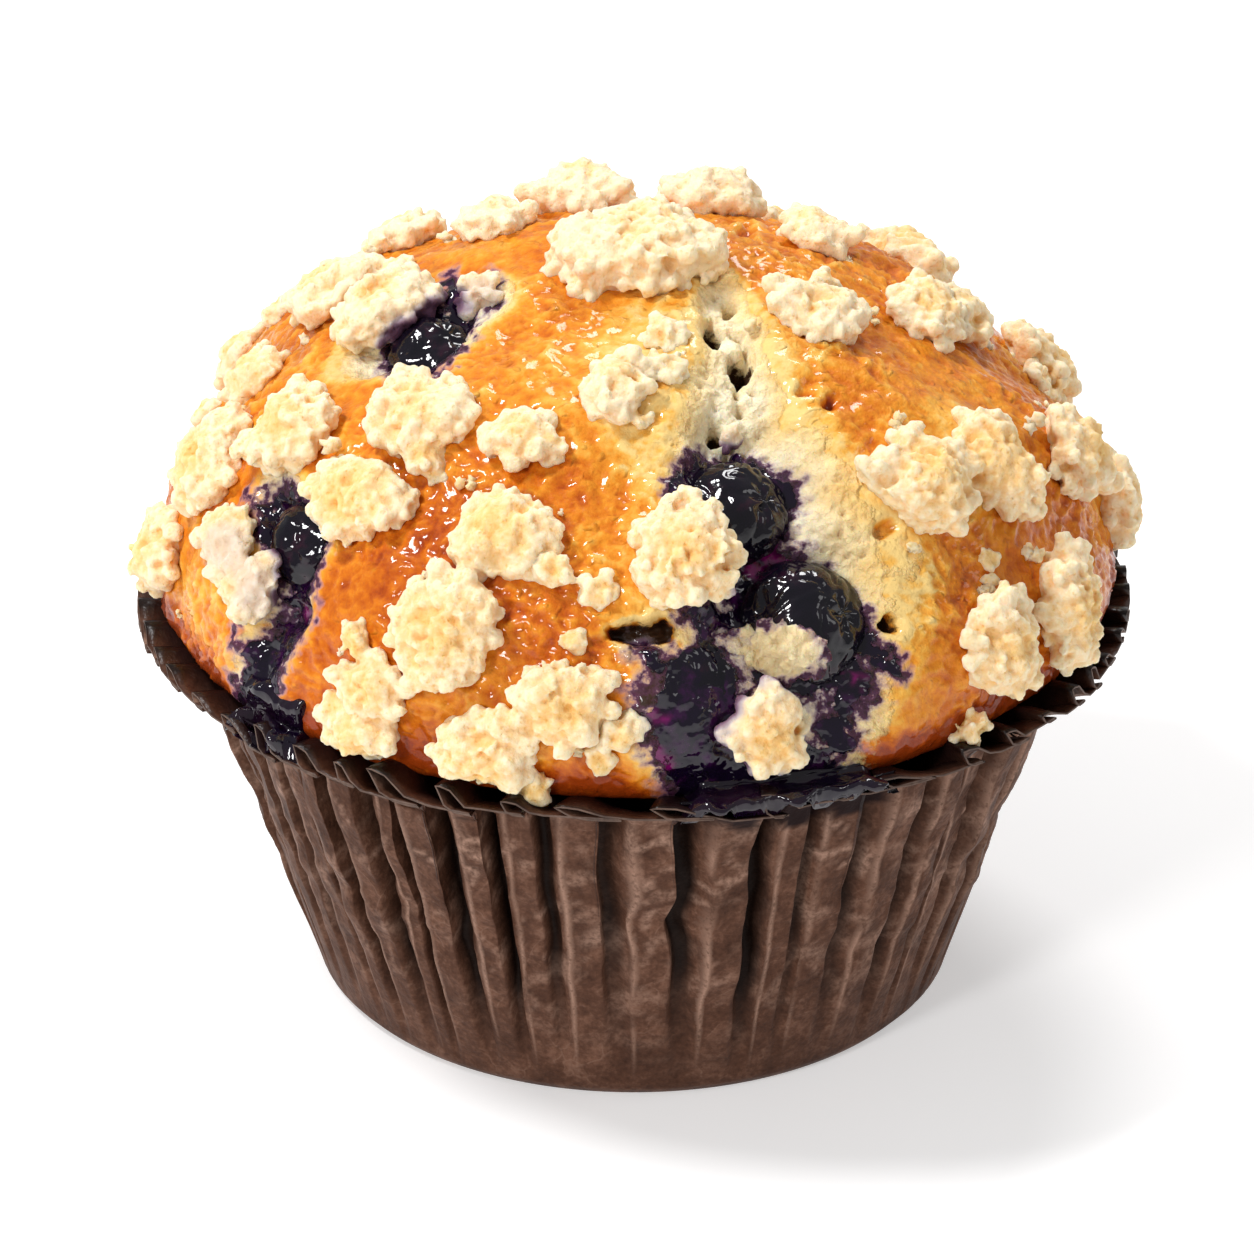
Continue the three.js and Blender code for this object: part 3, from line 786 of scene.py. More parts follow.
def case_profile(share):
    """The wall's and the brim's middle line, from the foot at 0 to the rim at 1: radius,
    height and the direction out of the case."""
    wall_end = np.array([BASE_RADIUS + WALL_SLOPE * WALL_TOP - PLEAT_DEPTH / 2, WALL_TOP])
    foot = np.array([BASE_RADIUS, FOOT_CORNER])
    corner = np.array(CURL_CORNER)
    rim = np.array(RIM)
    on_wall = np.clip(share / WALL_SHARE, 0, 1)[:, None]
    on_curl = np.clip((share - WALL_SHARE) / (1 - WALL_SHARE), 0, 1)[:, None]
    wall = foot + (wall_end - foot) * on_wall
    curl = ((1 - on_curl) ** 2 * wall_end + 2 * on_curl * (1 - on_curl) * corner
            + on_curl ** 2 * rim)
    wall_run = np.broadcast_to(wall_end - foot, wall.shape)
    curl_run = 2 * (1 - on_curl) * (corner - wall_end) + 2 * on_curl * (rim - corner)
    on_brim = share[:, None] > WALL_SHARE
    point = np.where(on_brim, curl, wall)
    run = unit(np.where(on_brim, curl_run, wall_run))
    return point, np.stack([run[:, 1], -run[:, 0]], axis=-1), on_curl[:, 0]


def pleat_layout():
    """Each pleat's start angle and width: uneven, as pleats become after wear by hand."""
    draw = np.random.default_rng(41)
    turns = (np.arange(PLEATS) + 0.5) * 2 * math.pi / PLEATS
    widths = 1 + 0.25 * np.sin(3 * turns + 1.1) + 0.8 * (draw.random(PLEATS) - 0.5)
    widths = widths * 2 * math.pi / widths.sum()
    starts = np.concatenate([[0], np.cumsum(widths)[:-1]])
    return starts, widths, draw.random((4, PLEATS))


def make_case(materials):
    starts, widths, shares = pleat_layout()
    phase = np.arange(PLEAT_COLUMNS) / PLEAT_COLUMNS
    rows = np.concatenate([np.linspace(0, WALL_SHARE, WALL_ROWS),
                           np.linspace(WALL_SHARE, 1, BRIM_ROWS)[1:]])
    profile, outs, curls = case_profile(rows)
    heights = profile[:, 1]
    rise = smoothstep(0.5, 26, heights) ** 0.7
    shade = smoothstep(2.5, 19, heights)

    pleat = np.repeat(np.arange(PLEATS), PLEAT_COLUMNS)
    wave = np.tile(2 * math.pi * phase, PLEATS)
    fold_share, depth_share, kink_share, kink_side = (share[pleat] for share in shares)
    kink_height = KINK_LOWEST + KINK_SPAN * kink_share
    side = np.where(kink_side < 0.5, -1, 1) * (0.4 + kink_share)
    panel = np.tanh(FLUTE_SHARPNESS * (np.sin(wave + 0.5 * np.cos(wave)) + 0.2))
    panel = panel / math.tanh(FLUTE_SHARPNESS)
    from_fold = np.minimum(wave, 2 * math.pi - wave)
    columns = len(pleat)
    points = np.empty((len(rows), columns, 3))
    groove_shade = np.empty((len(rows), columns))
    for row in range(len(rows)):
        sway = np.stack([pleat * 7.3, np.full(columns, heights[row] / 6), np.zeros(columns)], axis=-1)
        kink = np.clip(1 - np.abs(heights[row] - kink_height) / KINK_REACH, 0, 1) * (1 - curls[row])
        wander = (0.13 * noise(sway, 1.0, 3) + 0.10 * side * kink) * rise[row]
        fold = (0.10 + 0.12 * fold_share) * rise[row]
        fold = fold + (0.26 + 0.16 * fold_share) * curls[row]
        depth = (0.6 + 1.5 * depth_share ** 1.5) * rise[row] * (1 - 0.5 * curls[row])
        depth = depth * (1 + 0.3 * noise(sway + 31.7, 1.0, 9)) * (1 - 0.35 * kink)
        turn = starts[pleat] + widths[pleat] * (wave / (2 * math.pi) + fold * np.sin(wave) + wander)
        offset = depth * panel
        # Painted shade in the pleats' grooves: darker in deeper pleats, fading out toward the foot.
        groove_shade[row] = np.clip((0.5 - 1.9 * panel) * shade[row] * (0.3 + depth_share ** 1.5), 0, 1)
        radius = profile[row, 0] + outs[row, 0] * offset
        height = profile[row, 1] + outs[row, 1] * offset
        points[row] = about_axis(radius, turn, height)

    flat = points.reshape(-1, 3)
    out = unit(flat * np.array([1.0, 1.0, 0.0]))
    creases = [np.abs(noise(warped(flat, size, 0.3 * size, seed), size, seed + 3))
               for size, seed in ((6.5, 51), (3.6, 61), (2.0, 71))]
    strength = np.repeat(rise * (1 - 0.6 * curls), columns)
    band = 0.35 + 0.65 * np.exp(-((flat[:, 2] - 15 - 3 * noise(flat, 7.0, 91)) / 5) ** 2)
    crumple = band * (0.2 - 0.75 * creases[0] - 0.6 * creases[1] - 0.4 * creases[2])
    flat = flat + out * (strength * crumple)[:, None]
    ridge = 1 - smoothstep(0.0, 0.10, np.minimum(creases[0] * 0.8, creases[1]))
    # Pale lines along the crumples' ridges: partly rubbed wear, partly painted highlight.
    wear_and_highlight = np.repeat(rise, columns) * ridge * smoothstep(-0.3, 0.3, noise(flat, 4.0, 81))
    # Pale lines along the pleats' folds on the wall: partly wear, partly painted highlight.
    strength = np.repeat(smoothstep(1.0, 9.0, heights) * (1 - curls), columns)
    fold_wear_and_highlight = strength * smoothstep(-0.7, 0.2, noise(flat * np.array([1.0, 1.0, 0.4]), 2.4, 85))

    rings = [flat.reshape(len(rows), columns, 3)]
    turn = np.arctan2(points[0, :, 0], -points[0, :, 1])
    for radius, height in FOOT_RINGS:
        rings.insert(0, about_axis(radius, turn, height)[None])
    grid = np.concatenate(rings)
    vertices = np.concatenate([grid.reshape(-1, 3), [[0.0, 0.0, 0.0]]])
    levels = len(grid)
    column = np.tile(np.arange(columns), levels - 1)
    after = (column + 1) % columns
    low = np.repeat(np.arange(levels - 1) * columns, columns)
    faces = np.stack([low + column, low + after, low + columns + after, low + columns + column], axis=-1)
    faces = faces.tolist()
    pole = len(vertices) - 1
    faces += [(pole, (column + 1) % columns, column) for column in range(columns)]

    attributes = {key: np.concatenate([np.zeros(len(FOOT_RINGS) * columns), values, [0.0]])
                  for key, values in (("groove_shade", groove_shade.ravel()), ("wear_and_highlight", wear_and_highlight),
                                      ("fold_wear_and_highlight", fold_wear_and_highlight))}
    attributes["from_fold"] = np.append(np.tile(from_fold, levels), 1.0)
    pixels = photo_pixels(vertices)
    front = (vertices[:, 1] < 5) & (vertices[:, 2] > 26)
    ragged = stirred(pixels, 6, noise, vertices, (71, 72), 2.0)
    soaked = patch(ragged, {"brim": BRIM_JUICE}, 5) * front
    radius = np.hypot(vertices[:, 0], vertices[:, 1])
    inner_grease = 1 - smoothstep(35.6, 37.8, radius + 0.8 * noise(vertices, 3.0, 77))
    inner_grease = inner_grease * smoothstep(28.5, 30.0, vertices[:, 2])
    attributes["grease"] = np.maximum(soaked, inner_grease * 0.8)
    piece = make_object("case", vertices, faces, materials, attributes)
    shell = piece.modifiers.new("thickness", "SOLIDIFY")
    shell.thickness = PAPER_THICKNESS * MM
    shell.offset = -1
    shell.material_offset = 1
    shell.material_offset_rim = 2
    return piece


# The cake
LIP_SPAN = 0.12
LIP_TUCK = 1.4
LIP_DROP = 2.1
FISSURE_WIDTH = 0.45
FISSURE_DEPTH = 2.0
HOLE_DEPTH = 2.6
DIMPLE_DEPTH = 0.9
SKIRT = [(32.4, 30.0), (29.4, 27.6), (26.0, 16.0), (22.6, 1.2)]

# Holes in the torn crumb and dips in the crust, as (x, y, radius) in the photograph's own pixels. The deep
# holes are also painted near-black inside, as shade.
HOLES = {
    "deep": [(713, 323, 11), (743, 357, 12), (719, 416, 8), (732, 296, 6), (893, 625, 9),
             (614, 633, 7), (624, 634, 10), (635, 635, 11), (646, 635, 11), (657, 634, 11),
             (667, 631, 10)],
    "shallow": [(746, 236, 9), (806, 393, 9), (828, 407, 7), (888, 526, 9), (702, 306, 4)],
}


def cake_form():
    """The crust's plain form with its lip: faces, points, the ways out, and how far under the lip
    each point lies, as an angle."""
    directions, faces = ball(8)
    kept = (directions[faces][:, :, 2] > -LIP_SPAN).all(axis=1)
    faces = faces[kept]
    used = np.unique(faces)
    index = np.full(len(directions), -1)
    index[used] = np.arange(len(used))
    faces = index[faces]
    directions = directions[used]

    above = np.maximum(directions[:, 2], 0)
    tuck = np.clip(-directions[:, 2] / LIP_SPAN, 0, 1) * math.pi / 2
    flat = unit(directions[:, :2])
    level = np.sqrt(1 - above ** 2)
    radius = DOME_RADIUS * level - LIP_TUCK * (1 - np.cos(tuck))
    height = DOME_SEAT + DOME_RISE * above - LIP_DROP * np.sin(tuck)
    base = np.column_stack([flat * radius[:, None], height])
    out = dome_out(base)
    out[:, 2] -= 0.8 * np.sin(tuck)
    return faces, base, unit(out), tuck


def crumb_detail(base):
    """The torn crumb's lumps, grains and pores."""
    crumb = 0.34 * fractal(base, 4.2, 2, 141)
    lump = cell_distance(warped(base, 2.0, 0.6, 145), 1.9, 151)
    grain = cell_distance(warped(base, 1.0, 0.3, 147), 0.95, 155)
    pore = cell_distance(base, 1.5, 157)
    crumb = crumb + 0.55 * (0.5 - lump) + 0.50 * (0.45 - grain)
    return crumb - 0.45 * (1 - smoothstep(0.10, 0.28, pore))


def skin_detail(base):
    """The crust's wrinkles, and how much paler they make it."""
    ridge = 1 - np.abs(noise(warped(base, 2.6, 0.8, 161), 1.9, 165)) / 0.35
    ridge = np.clip(ridge, 0, 1) ** 1.5
    ridge_fine = 1 - np.abs(noise(warped(base, 1.3, 0.4, 171), 1.05, 175)) / 0.35
    ridge_fine = np.clip(ridge_fine, 0, 1)
    wrinkled = 0.35 + 0.65 * smoothstep(-0.55, 0.35, noise(base, 9.0, 181))
    skin = 0.24 * fractal(base, 4.0, 3, 185)
    broken = smoothstep(-0.35, 0.25, noise(base, 2.4, 187))
    skin = skin + wrinkled * (0.30 * ridge * broken + 0.26 * ridge_fine)
    return skin, 0.10 * wrinkled * ridge * broken


def crust_tone(base, pixels, front, paler):
    """How brown the crust is, from 0 to 1, with painted shade making it darker along its lowest edge by the
    case.
    """
    tone_and_shade = 0.46 + 0.16 * fractal(base, 11.0, 3, 201) + 0.07 * noise(base, 2.2, 205)
    tone_and_shade = tone_and_shade + 0.06 - paler
    for *spot, size, change in (spot for group in CRUST_TONES.values() for spot in group):
        tone_and_shade = tone_and_shade + front * change * np.exp(-(pixel_distance(pixels, spot) / size) ** 2)
    for stations in SPLITS.values():
        reach, _, _, _ = across_split(stations, base)
        tone_and_shade = tone_and_shade - 0.42 * (1 - smoothstep(0.95, 1.55, reach))
    # Painted shade: the crust darkens toward its lowest edge, where it tucks into the case.
    tone_and_shade = tone_and_shade + 0.75 * (1 - smoothstep(32.0, 35.0, base[:, 2] + 0.6 * noise(base, 3.0, 207)))
    return np.clip(tone_and_shade - 0.04, 0, 1)


def fissure(base):
    """The open gap down the middle of the front split's upper part, from 0 to 1."""
    bent = warped(warped(base, 5.0, 1.6, 127), 1.8, 0.8, 129)
    _, _, along, nearest = across_split(SPLITS["front"], bent)
    open_part = smoothstep(0.04, 0.10, along) * (1 - smoothstep(0.40, 0.46, along))
    gap = open_part * np.exp(-(nearest / FISSURE_WIDTH) ** 2)
    return gap * smoothstep(-0.25, 0.25, noise(base, 2.2, 131))


def make_cake(material):
    faces, base, out, tuck = cake_form()
    pixels = photo_pixels(base)
    front = facing_photo(base, dome_out(base))
    speckle = cell_distance(base, 0.9, 98)
    ragged = stirred(pixels, 12, fractal, base, (101, 105), 2.2, 3)
    ragged = ragged + (14 * (speckle - 0.45))[:, None]
    wet = patch(ragged, JUICE_SPOTS, 9.0) * front
    island = 1 - smoothstep(DRY_ISLAND[2] - 8, DRY_ISLAND[2] + 4,
                            np.hypot((ragged[:, 0] - DRY_ISLAND[0]) / DRY_STRETCH,
                                     ragged[:, 1] - DRY_ISLAND[1]))
    wet = wet * (1 - island)
    wide = {name: [(x, y, size + 7) for x, y, size in spots] for name, spots in JUICE_SPOTS.items()}
    stain = np.maximum(0.9 * patch(ragged, wide, 11), 0.72 * patch(ragged, STAIN_SPOTS, 15)) * front
    stain = np.clip(stain + 0.55 * stain * fractal(base, 1.1, 3, 111), 0, 1)
    stain = stain * (1 - 0.6 * island)
    bright = patch(ragged, {"bright": BRIGHT_JUICE}, 8) * front

    torn = np.zeros(len(base))
    gild = np.zeros(len(base))
    relief = crust_relief(warped(base, 3.0, 0.9, 119), 1 - patch(pixels, DEEP_SPOTS, 22))
    relief = spread(relief, faces, 14)
    for stations in SPLITS.values():
        reach, _, _, _ = across_split(stations, warped(base, 4.5, 1.3, 121))
        ragged_reach = reach + 0.26 * fractal(base, 3.2, 4, 125)
        torn = np.maximum(torn, 1 - smoothstep(0.76, 1.12, ragged_reach))
        gild = np.maximum(gild, smoothstep(0.42, 0.95, ragged_reach) * (reach < 2))
    gap = fissure(base)
    relief = relief - FISSURE_DEPTH * gap
    # Painted shade down the open fissure.
    hole_shade = 0.4 * smoothstep(0.4, 1.0, gap)
    torn = spread(torn, faces, 3)
    gild = spread(gild, faces, 12)
    bent_pixels = stirred(pixels, 6, noise, base, (135, 137), 1.4)
    deep = patch(bent_pixels, {"deep": HOLES["deep"]}, 3) * front
    shallow = patch(bent_pixels, {"low": HOLES["shallow"]}, 4) * front
    relief = relief - HOLE_DEPTH * deep - DIMPLE_DEPTH * shallow
    # Painted shade inside the deep holes.
    hole_shade = np.maximum(hole_shade, 0.96 * deep)

    crumb = crumb_detail(base)
    skin, paler = skin_detail(base)
    pool = 0.40 * fractal(base, 2.9, 2, 191) + 0.20 * noise(base, 1.4, 195) + 0.10
    detail = skin * (1 - torn) + crumb * torn
    detail = detail * (1 - wet) + (pool + 0.12 * crumb) * wet
    fade = 1 - 0.8 * np.sin(tuck)
    points = base + out * ((relief + detail) * fade)[:, None]
    # How sunk each point lies, for the painted shade that the cake's material lays in its hollows.
    hollow_shade = hollows(points, faces, out, 8)

    tone_and_shade = crust_tone(base, pixels, front, paler)
    everything, skirt_faces = add_skirt(points, boundary_loop(points, faces))
    count = len(everything) - len(points)
    # The skirt under the lip is painted at the darkest brown and mostly near-black, as painted shade.
    attributes = {key: np.concatenate([values, np.full(count, below)]) for key, values, below in (
        ("torn", torn, 0.0), ("stain", stain, 0.0), ("wet", wet, 0.0), ("tone_and_shade", tone_and_shade, 1.0),
        ("hole_shade", hole_shade, 0.8), ("gild", gild, 0.0), ("hollow_shade", hollow_shade, 0.0), ("bright", bright, 0.0))}
    tree = BVHTree.FromPolygons(points.tolist(), faces.tolist())
    return make_object("cake", everything, faces.tolist() + skirt_faces, [material], attributes), tree


def add_skirt(points, edge):
    """A mesh's points with a skirt's under them, and the faces from its edge down to the foot."""
    vertices = [points]
    faces = []
    last = edge
    total = len(points)
    turn = np.arctan2(points[edge, 0], -points[edge, 1])
    for radius, height in SKIRT:
        vertices.append(about_axis(radius, turn, height))
        ring = np.arange(total, total + len(edge))
        total += len(edge)
        for i in range(len(ring)):
            after = (i + 1) % len(ring)
            faces.append((ring[i], ring[after], last[after], last[i]))
        last = ring
    vertices.append([[0.0, 0.0, SKIRT[-1][1]]])
    for i in range(len(last)):
        faces.append((total, last[(i + 1) % len(last)], last[i]))
    return np.concatenate(vertices), faces


def boundary_loop(points, faces):
    """The vertices on an open mesh's one edge loop, in order round the axis from the front."""
    edges = np.concatenate([faces[:, [0, 1]], faces[:, [1, 2]], faces[:, [2, 0]]])
    codes = np.sort(edges, axis=1)
    codes = codes[:, 0] * len(points) + codes[:, 1]
    _, first, count = np.unique(codes, return_index=True, return_counts=True)
    open_edges = edges[first[count == 1]]
    after = dict(open_edges.tolist())
    start = min(after, key=lambda i: abs(math.atan2(points[i, 0], -points[i, 1])))
    loop = [start]
    while after[loop[-1]] != start:
        loop.append(after[loop[-1]])
    turn = [math.atan2(points[i, 0], -points[i, 1]) for i in loop[:2]]
    if turn[1] < turn[0]:
        loop.reverse()
    return np.array(loop)


# Crumble
VOXEL = 0.215
BACK_VOXEL = 0.27
GRANULE_SPACING = 0.66
GRANULE_SMALL = 0.27
GRANULE_LARGE = 0.62
LOBE_SPACING = 1.75
LOBE_SMALL = 0.6
LOBE_LARGE = 1.25
FRINGE_SPACING = 0.85
FRINGE_SMALL = 0.22
FRINGE_LARGE = 0.85
CORE_INSET = 0.85
SINK = 0.9
KNOBS = 5
OUTLINE_WAVES = ((2, 0.05), (3, 0.08), (5, 0.06), (8, 0.05))
GRAINS_PER_MM = 13

# Small lumps on the front, as (x, y, size): a pixel of the photograph, and millimetres
SMALL_CLUMPS = {
    "left": [(428, 465, 3.6), (480, 297, 4.4), (360, 640, 3.6), (553, 450, 2.6), (455, 610, 3.0),
             (388, 520, 2.4), (300, 560, 2.2), (345, 700, 3.0), (322, 760, 2.4)],
    "middle": [(555, 573, 3.4), (600, 592, 3.0), (622, 733, 3.6), (662, 338, 4.0), (668, 370, 3.6),
               (573, 640, 2.4), (727, 438, 2.2), (600, 760, 2.4), (536, 783, 3.6), (640, 420, 2.0),
               (588, 291, 3.2), (622, 282, 2.8), (560, 268, 2.8), (705, 270, 2.4)],
    "right": [(1040, 385, 4.8), (822, 290, 3.4), (965, 725, 4.0), (985, 560, 2.2), (1012, 500, 2.6),
              (792, 300, 2.6), (905, 500, 2.2)],
}

# Small lumps on the back, as (around, up, size)
BACK_CLUMPS = [(100, 30, 3.2), (104, 52, 2.6), (112, 16, 2.8), (120, 44, 3.4), (127, 62, 2.4),
               (133, 24, 2.6), (140, 50, 3.0), (148, 12, 2.6), (152, 36, 3.4), (160, 58, 2.8),
               (167, 22, 3.0), (174, 44, 2.4), (182, 68, 3.0), (186, 14, 2.8), (193, 34, 3.2),
               (200, 54, 2.6), (208, 20, 3.0), (215, 42, 3.4), (222, 64, 2.4), (230, 28, 2.8),
               (237, 50, 3.0), (245, 14, 2.6), (250, 38, 3.2), (258, 60, 2.6), (263, 24, 3.0)]

# Crumble near the juice, as (x, y, radius) in the photograph's own pixels
STAINED_CRUMBLE = {
    "by the left berry": [(222, 545, 26), (255, 590, 26), (236, 560, 22)],
    "by the upper left berry": [(482, 300, 26), (505, 285, 14)],
    "by the upper berry": [(727, 438, 14)],
    "by the pool": [(650, 690, 16), (660, 660, 10)],
}


def seen_at(tree, x, y):
    """The first point of a mesh, and its way out, that the photograph shows at a pixel."""
    scale = LENS / SENSOR * PHOTO_SIZE
    ray = unit(CAMERA_LOOK + CAMERA_SIDE * (x - PHOTO_SIZE / 2) / scale
               - CAMERA_UP * (y - PHOTO_SIZE / 2) / scale)
    place, out, _, _ = tree.ray_cast(Vector(CAMERA_PLACE), Vector(ray))
    if place is None:
        place, out, _, _ = tree.find_nearest(Vector(CAMERA_PLACE + ray * (CAMERA_DISTANCE - DOME_RADIUS)))
    return np.array(place), np.array(out)


def join_trees(pieces):
    """One tree for finding what is seen first of several pieces."""
    points = []
    faces = []
    for piece in pieces:
        start = sum(len(part) for part in points)
        points.append(mesh_points(piece.data))
        faces += [[start + i for i in face.vertices] for face in piece.data.polygons]
    return BVHTree.FromPolygons(np.concatenate(points).tolist(), faces)


def many_balls(centres, radii):
    """One mesh of many small balls."""
    points, faces = ball(2)
    vertices = centres[:, None] + radii[:, None, None] * points
    triangles = faces + (np.arange(len(centres)) * len(points))[:, None, None]
    return vertices.reshape(-1, 3), triangles.reshape(-1, 3)


def surface_spots(points, faces, spacing, draw):
    """Random points all over a mesh, about spacing apart."""
    first, second, third = (points[faces[:, corner]] for corner in range(3))
    areas = np.linalg.norm(np.cross(second - first, third - first), axis=-1) / 2
    count = int(areas.sum() / spacing ** 2)
    picks = draw.choice(len(faces), size=count, p=areas / areas.sum())
    along = np.sqrt(draw.random((count, 1)))
    across = draw.random((count, 1))
    return (first[picks] * (1 - along) + second[picks] * along * (1 - across)
            + third[picks] * along * across)


def level_part(away, out):
    """The part of each offset that runs across the way out."""
    return away - (away @ out)[:, None] * out


def random_sizes(draw, count, small, large, power):
    """Random sizes from small to large, with most of them small."""
    return small + (large - small) * draw.random(count) ** power


def broken_outline(points, centre, out, draw):
    """A lump's points drawn in by uneven amounts round its middle, for a broken outline."""
    across = unit(np.cross([0.0, 0.0, 1.0], out))
    along = np.cross(out, across)
    away = points - centre
    turn = np.arctan2(away @ along, away @ across)
    share = np.full(len(points), 0.90)
    for waves, depth in OUTLINE_WAVES:
        share += depth * np.sin(waves * turn + 2 * math.pi * draw.random())
    share = np.minimum(share, 1.03)
    height = (away @ out)[:, None] * out
    return centre + height + (away - height) * share[:, None]


def clump_parts(core_points, core_faces, draw):
    """A lump's own solid, drawn in a little and sunk into the crust, with lobes round its sides
    and granules over it. Returns its middle and half its width too."""
    centre = core_points.mean(axis=0)
    out = dome_out(centre[None])[0]
    core_points = broken_outline(core_points, centre, out, draw)
    core = core_points + unit(centre - core_points) * CORE_INSET
    lowered = core - out * SINK

    sides = surface_spots(core_points, core_faces, LOBE_SPACING, draw)
    height = (sides - centre) @ out
    low, high = np.quantile(height, [0.15, 0.8])
    sides = sides[(height > low) & (height < high)]
    lobe_radii = random_sizes(draw, len(sides), LOBE_SMALL, LOBE_LARGE, 1.4)
    inset = lobe_radii * (0.75 + 0.45 * draw.random(len(sides)))
    lobes = sides + unit(centre - sides) * inset[:, None]

    spots = surface_spots(core_points, core_faces, GRANULE_SPACING, draw)
    height = (spots - centre) @ out
    keep = height > np.quantile(height, 0.12)
    spots, height = spots[keep], height[keep]
    radii = random_sizes(draw, len(spots), GRANULE_SMALL, GRANULE_LARGE, 1.5)
    on_top = smoothstep(np.quantile(height, 0.5), np.quantile(height, 0.8), height)
    inset = radii * (0.55 + 1.1 * draw.random(len(spots)) + 0.35 * on_top)
    granules = spots + unit(centre - spots) * inset[:, None]

    fringe = surface_spots(core_points, core_faces, FRINGE_SPACING, draw)
    height = (fringe - centre) @ out
    low, high = np.quantile(height, [0.05, 0.65])
    fringe = fringe[(height > low) & (height < high)]
    fringe_radii = random_sizes(draw, len(fringe), FRINGE_SMALL, FRINGE_LARGE, 1.8)
    outward = unit(level_part(fringe - centre, out))
    fringe = fringe + outward * (fringe_radii * (1.2 * draw.random(len(fringe)) - 0.5))[:, None]

    outward = np.repeat(unit(sides - centre), KNOBS, axis=0)
    toward = unit(draw.normal(size=(len(lobes) * KNOBS, 3)) + outward)
    knobs = np.repeat(lobes, KNOBS, axis=0) + toward * np.repeat(lobe_radii, KNOBS)[:, None] * 0.92
    knob_radii = 0.2 + 0.25 * draw.random(len(knobs))

    ball_points, ball_faces = many_balls(np.concatenate([lobes, granules, knobs, fringe]),
                                         np.concatenate([lobe_radii, radii, knob_radii, fringe_radii]))
    points = np.concatenate([core, lowered, ball_points])
    faces = np.concatenate([core_faces, core_faces + len(core_points),
                            ball_faces + 2 * len(core_points)])
    half = np.quantile(np.linalg.norm(level_part(core_points - centre, out), axis=-1), 0.9)
    return points, faces, centre, half


def on_crust(tree, around, up):
    """The point of the crust, and its way out, at two angles of the dome."""
    point, out = dome_spots(np.array(float(around)), np.array(float(up)))
    place, normal, _, _ = tree.ray_cast(Vector(point + out * 20), Vector(-out))
    return np.array(place), np.array(normal)


def small_clump(spot, out, size, draw):
    count = int(GRAINS_PER_MM * size)
    scatter = unit(draw.normal(size=(count, 3))) * (size * 0.44) * draw.random((count, 1)) ** 0.45
    scatter = scatter - (scatter @ out)[:, None] * out * 0.4
    centres = spot + scatter + out * size * 0.10
    radii = np.minimum(size * 0.19, 0.24 + 0.42 * draw.random(count) ** 1.4)
    points, faces = many_balls(centres, radii)
    return points, faces, spot, size / 2


def node_shape(name):
    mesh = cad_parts[name].data
    mesh.calc_loop_triangles()
    faces = np.array([triangle.vertices[:] for triangle in mesh.loop_triangles])
    return mesh_points(mesh), faces


def make_crumble(name, nodes, clumps, material, voxel, seed):
    """Baked crumble: the lumps of some of the frame's nodes, and the smaller ones by them."""
    draw = np.random.default_rng(seed)
    parts = [clump_parts(*node_shape(node), draw) for node in nodes]
    parts += [small_clump(*spot, size, draw) for spot, size in clumps]
    starts = np.cumsum([0] + [len(part[0]) for part in parts[:-1]])
    points = np.concatenate([part[0] for part in parts])
    faces = np.concatenate([part[1] + start for part, start in zip(parts, starts)])
    piece = make_object(name, points, faces.tolist(), [material])
    fuse(piece, voxel)

    mesh = piece.data
    skin = mesh_points(mesh)
    normals = mesh_normals(mesh)
    bumps = cell_distance(warped(skin, 1.4, 0.3, seed), 1.25, seed + 3)
    grains = cell_distance(warped(skin, 0.8, 0.15, seed + 5), 0.72, seed + 7)
    push = 0.10 * fractal(skin, 2.4, 2, seed + 11) + 0.22 * (0.45 - bumps) + 0.30 * (0.45 - grains)
    skin = skin + normals * push[:, None]
    set_points(mesh, skin)
    hollow_shade = hollows(skin, mesh_faces(mesh), normals, 9)

    rim = np.full(len(skin), np.inf)
    for _, _, centre, half in parts:
        out = dome_out(centre[None])[0]
        away = skin - centre
        far = np.abs(away @ out) / (half + 2)
        rim = np.minimum(rim, np.linalg.norm(level_part(away, out), axis=-1) / half + 0.5 * far)
    # Painted shade: the crumble is browner in its hollows and paler on its knobs.
    warm = 0.46 - 0.32 * smoothstep(0.35, 1.0, rim) + 1.3 * np.clip(hollow_shade, -0.14, 0.35)
    warm = warm + 0.10 * fractal(skin, 3.0, 2, seed + 15) - 0.22 * smoothstep(50, 60, skin[:, 2])
    pixels = photo_pixels(skin)
    front = facing_photo(skin, dome_out(skin))
    ragged = pixels + 8 * noise(skin, 1.6, 211)[:, None]
    stain = 0.24 * patch(ragged, STAINED_CRUMBLE, 12) * front
    low = 1 - smoothstep(0.4, 1.8, height_over_dome(skin))
    soaked = patch(ragged, JUICE_SPOTS, 9) * front * low
    stain = np.maximum(stain, 0.95 * soaked)
    add_attributes(mesh, {"warm": np.clip(warm, 0, 1), "stain": np.clip(stain, 0, 1)})
    mesh.shade_smooth()
    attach(piece, "root")
    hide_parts(*nodes)
    return piece


# Loose crumbs
CRUMB_COUNT = 90
CRUMB_GRAINS = 3
CRUMB_NEAREST = 4.2
CRUMB_SPAN = 1.8


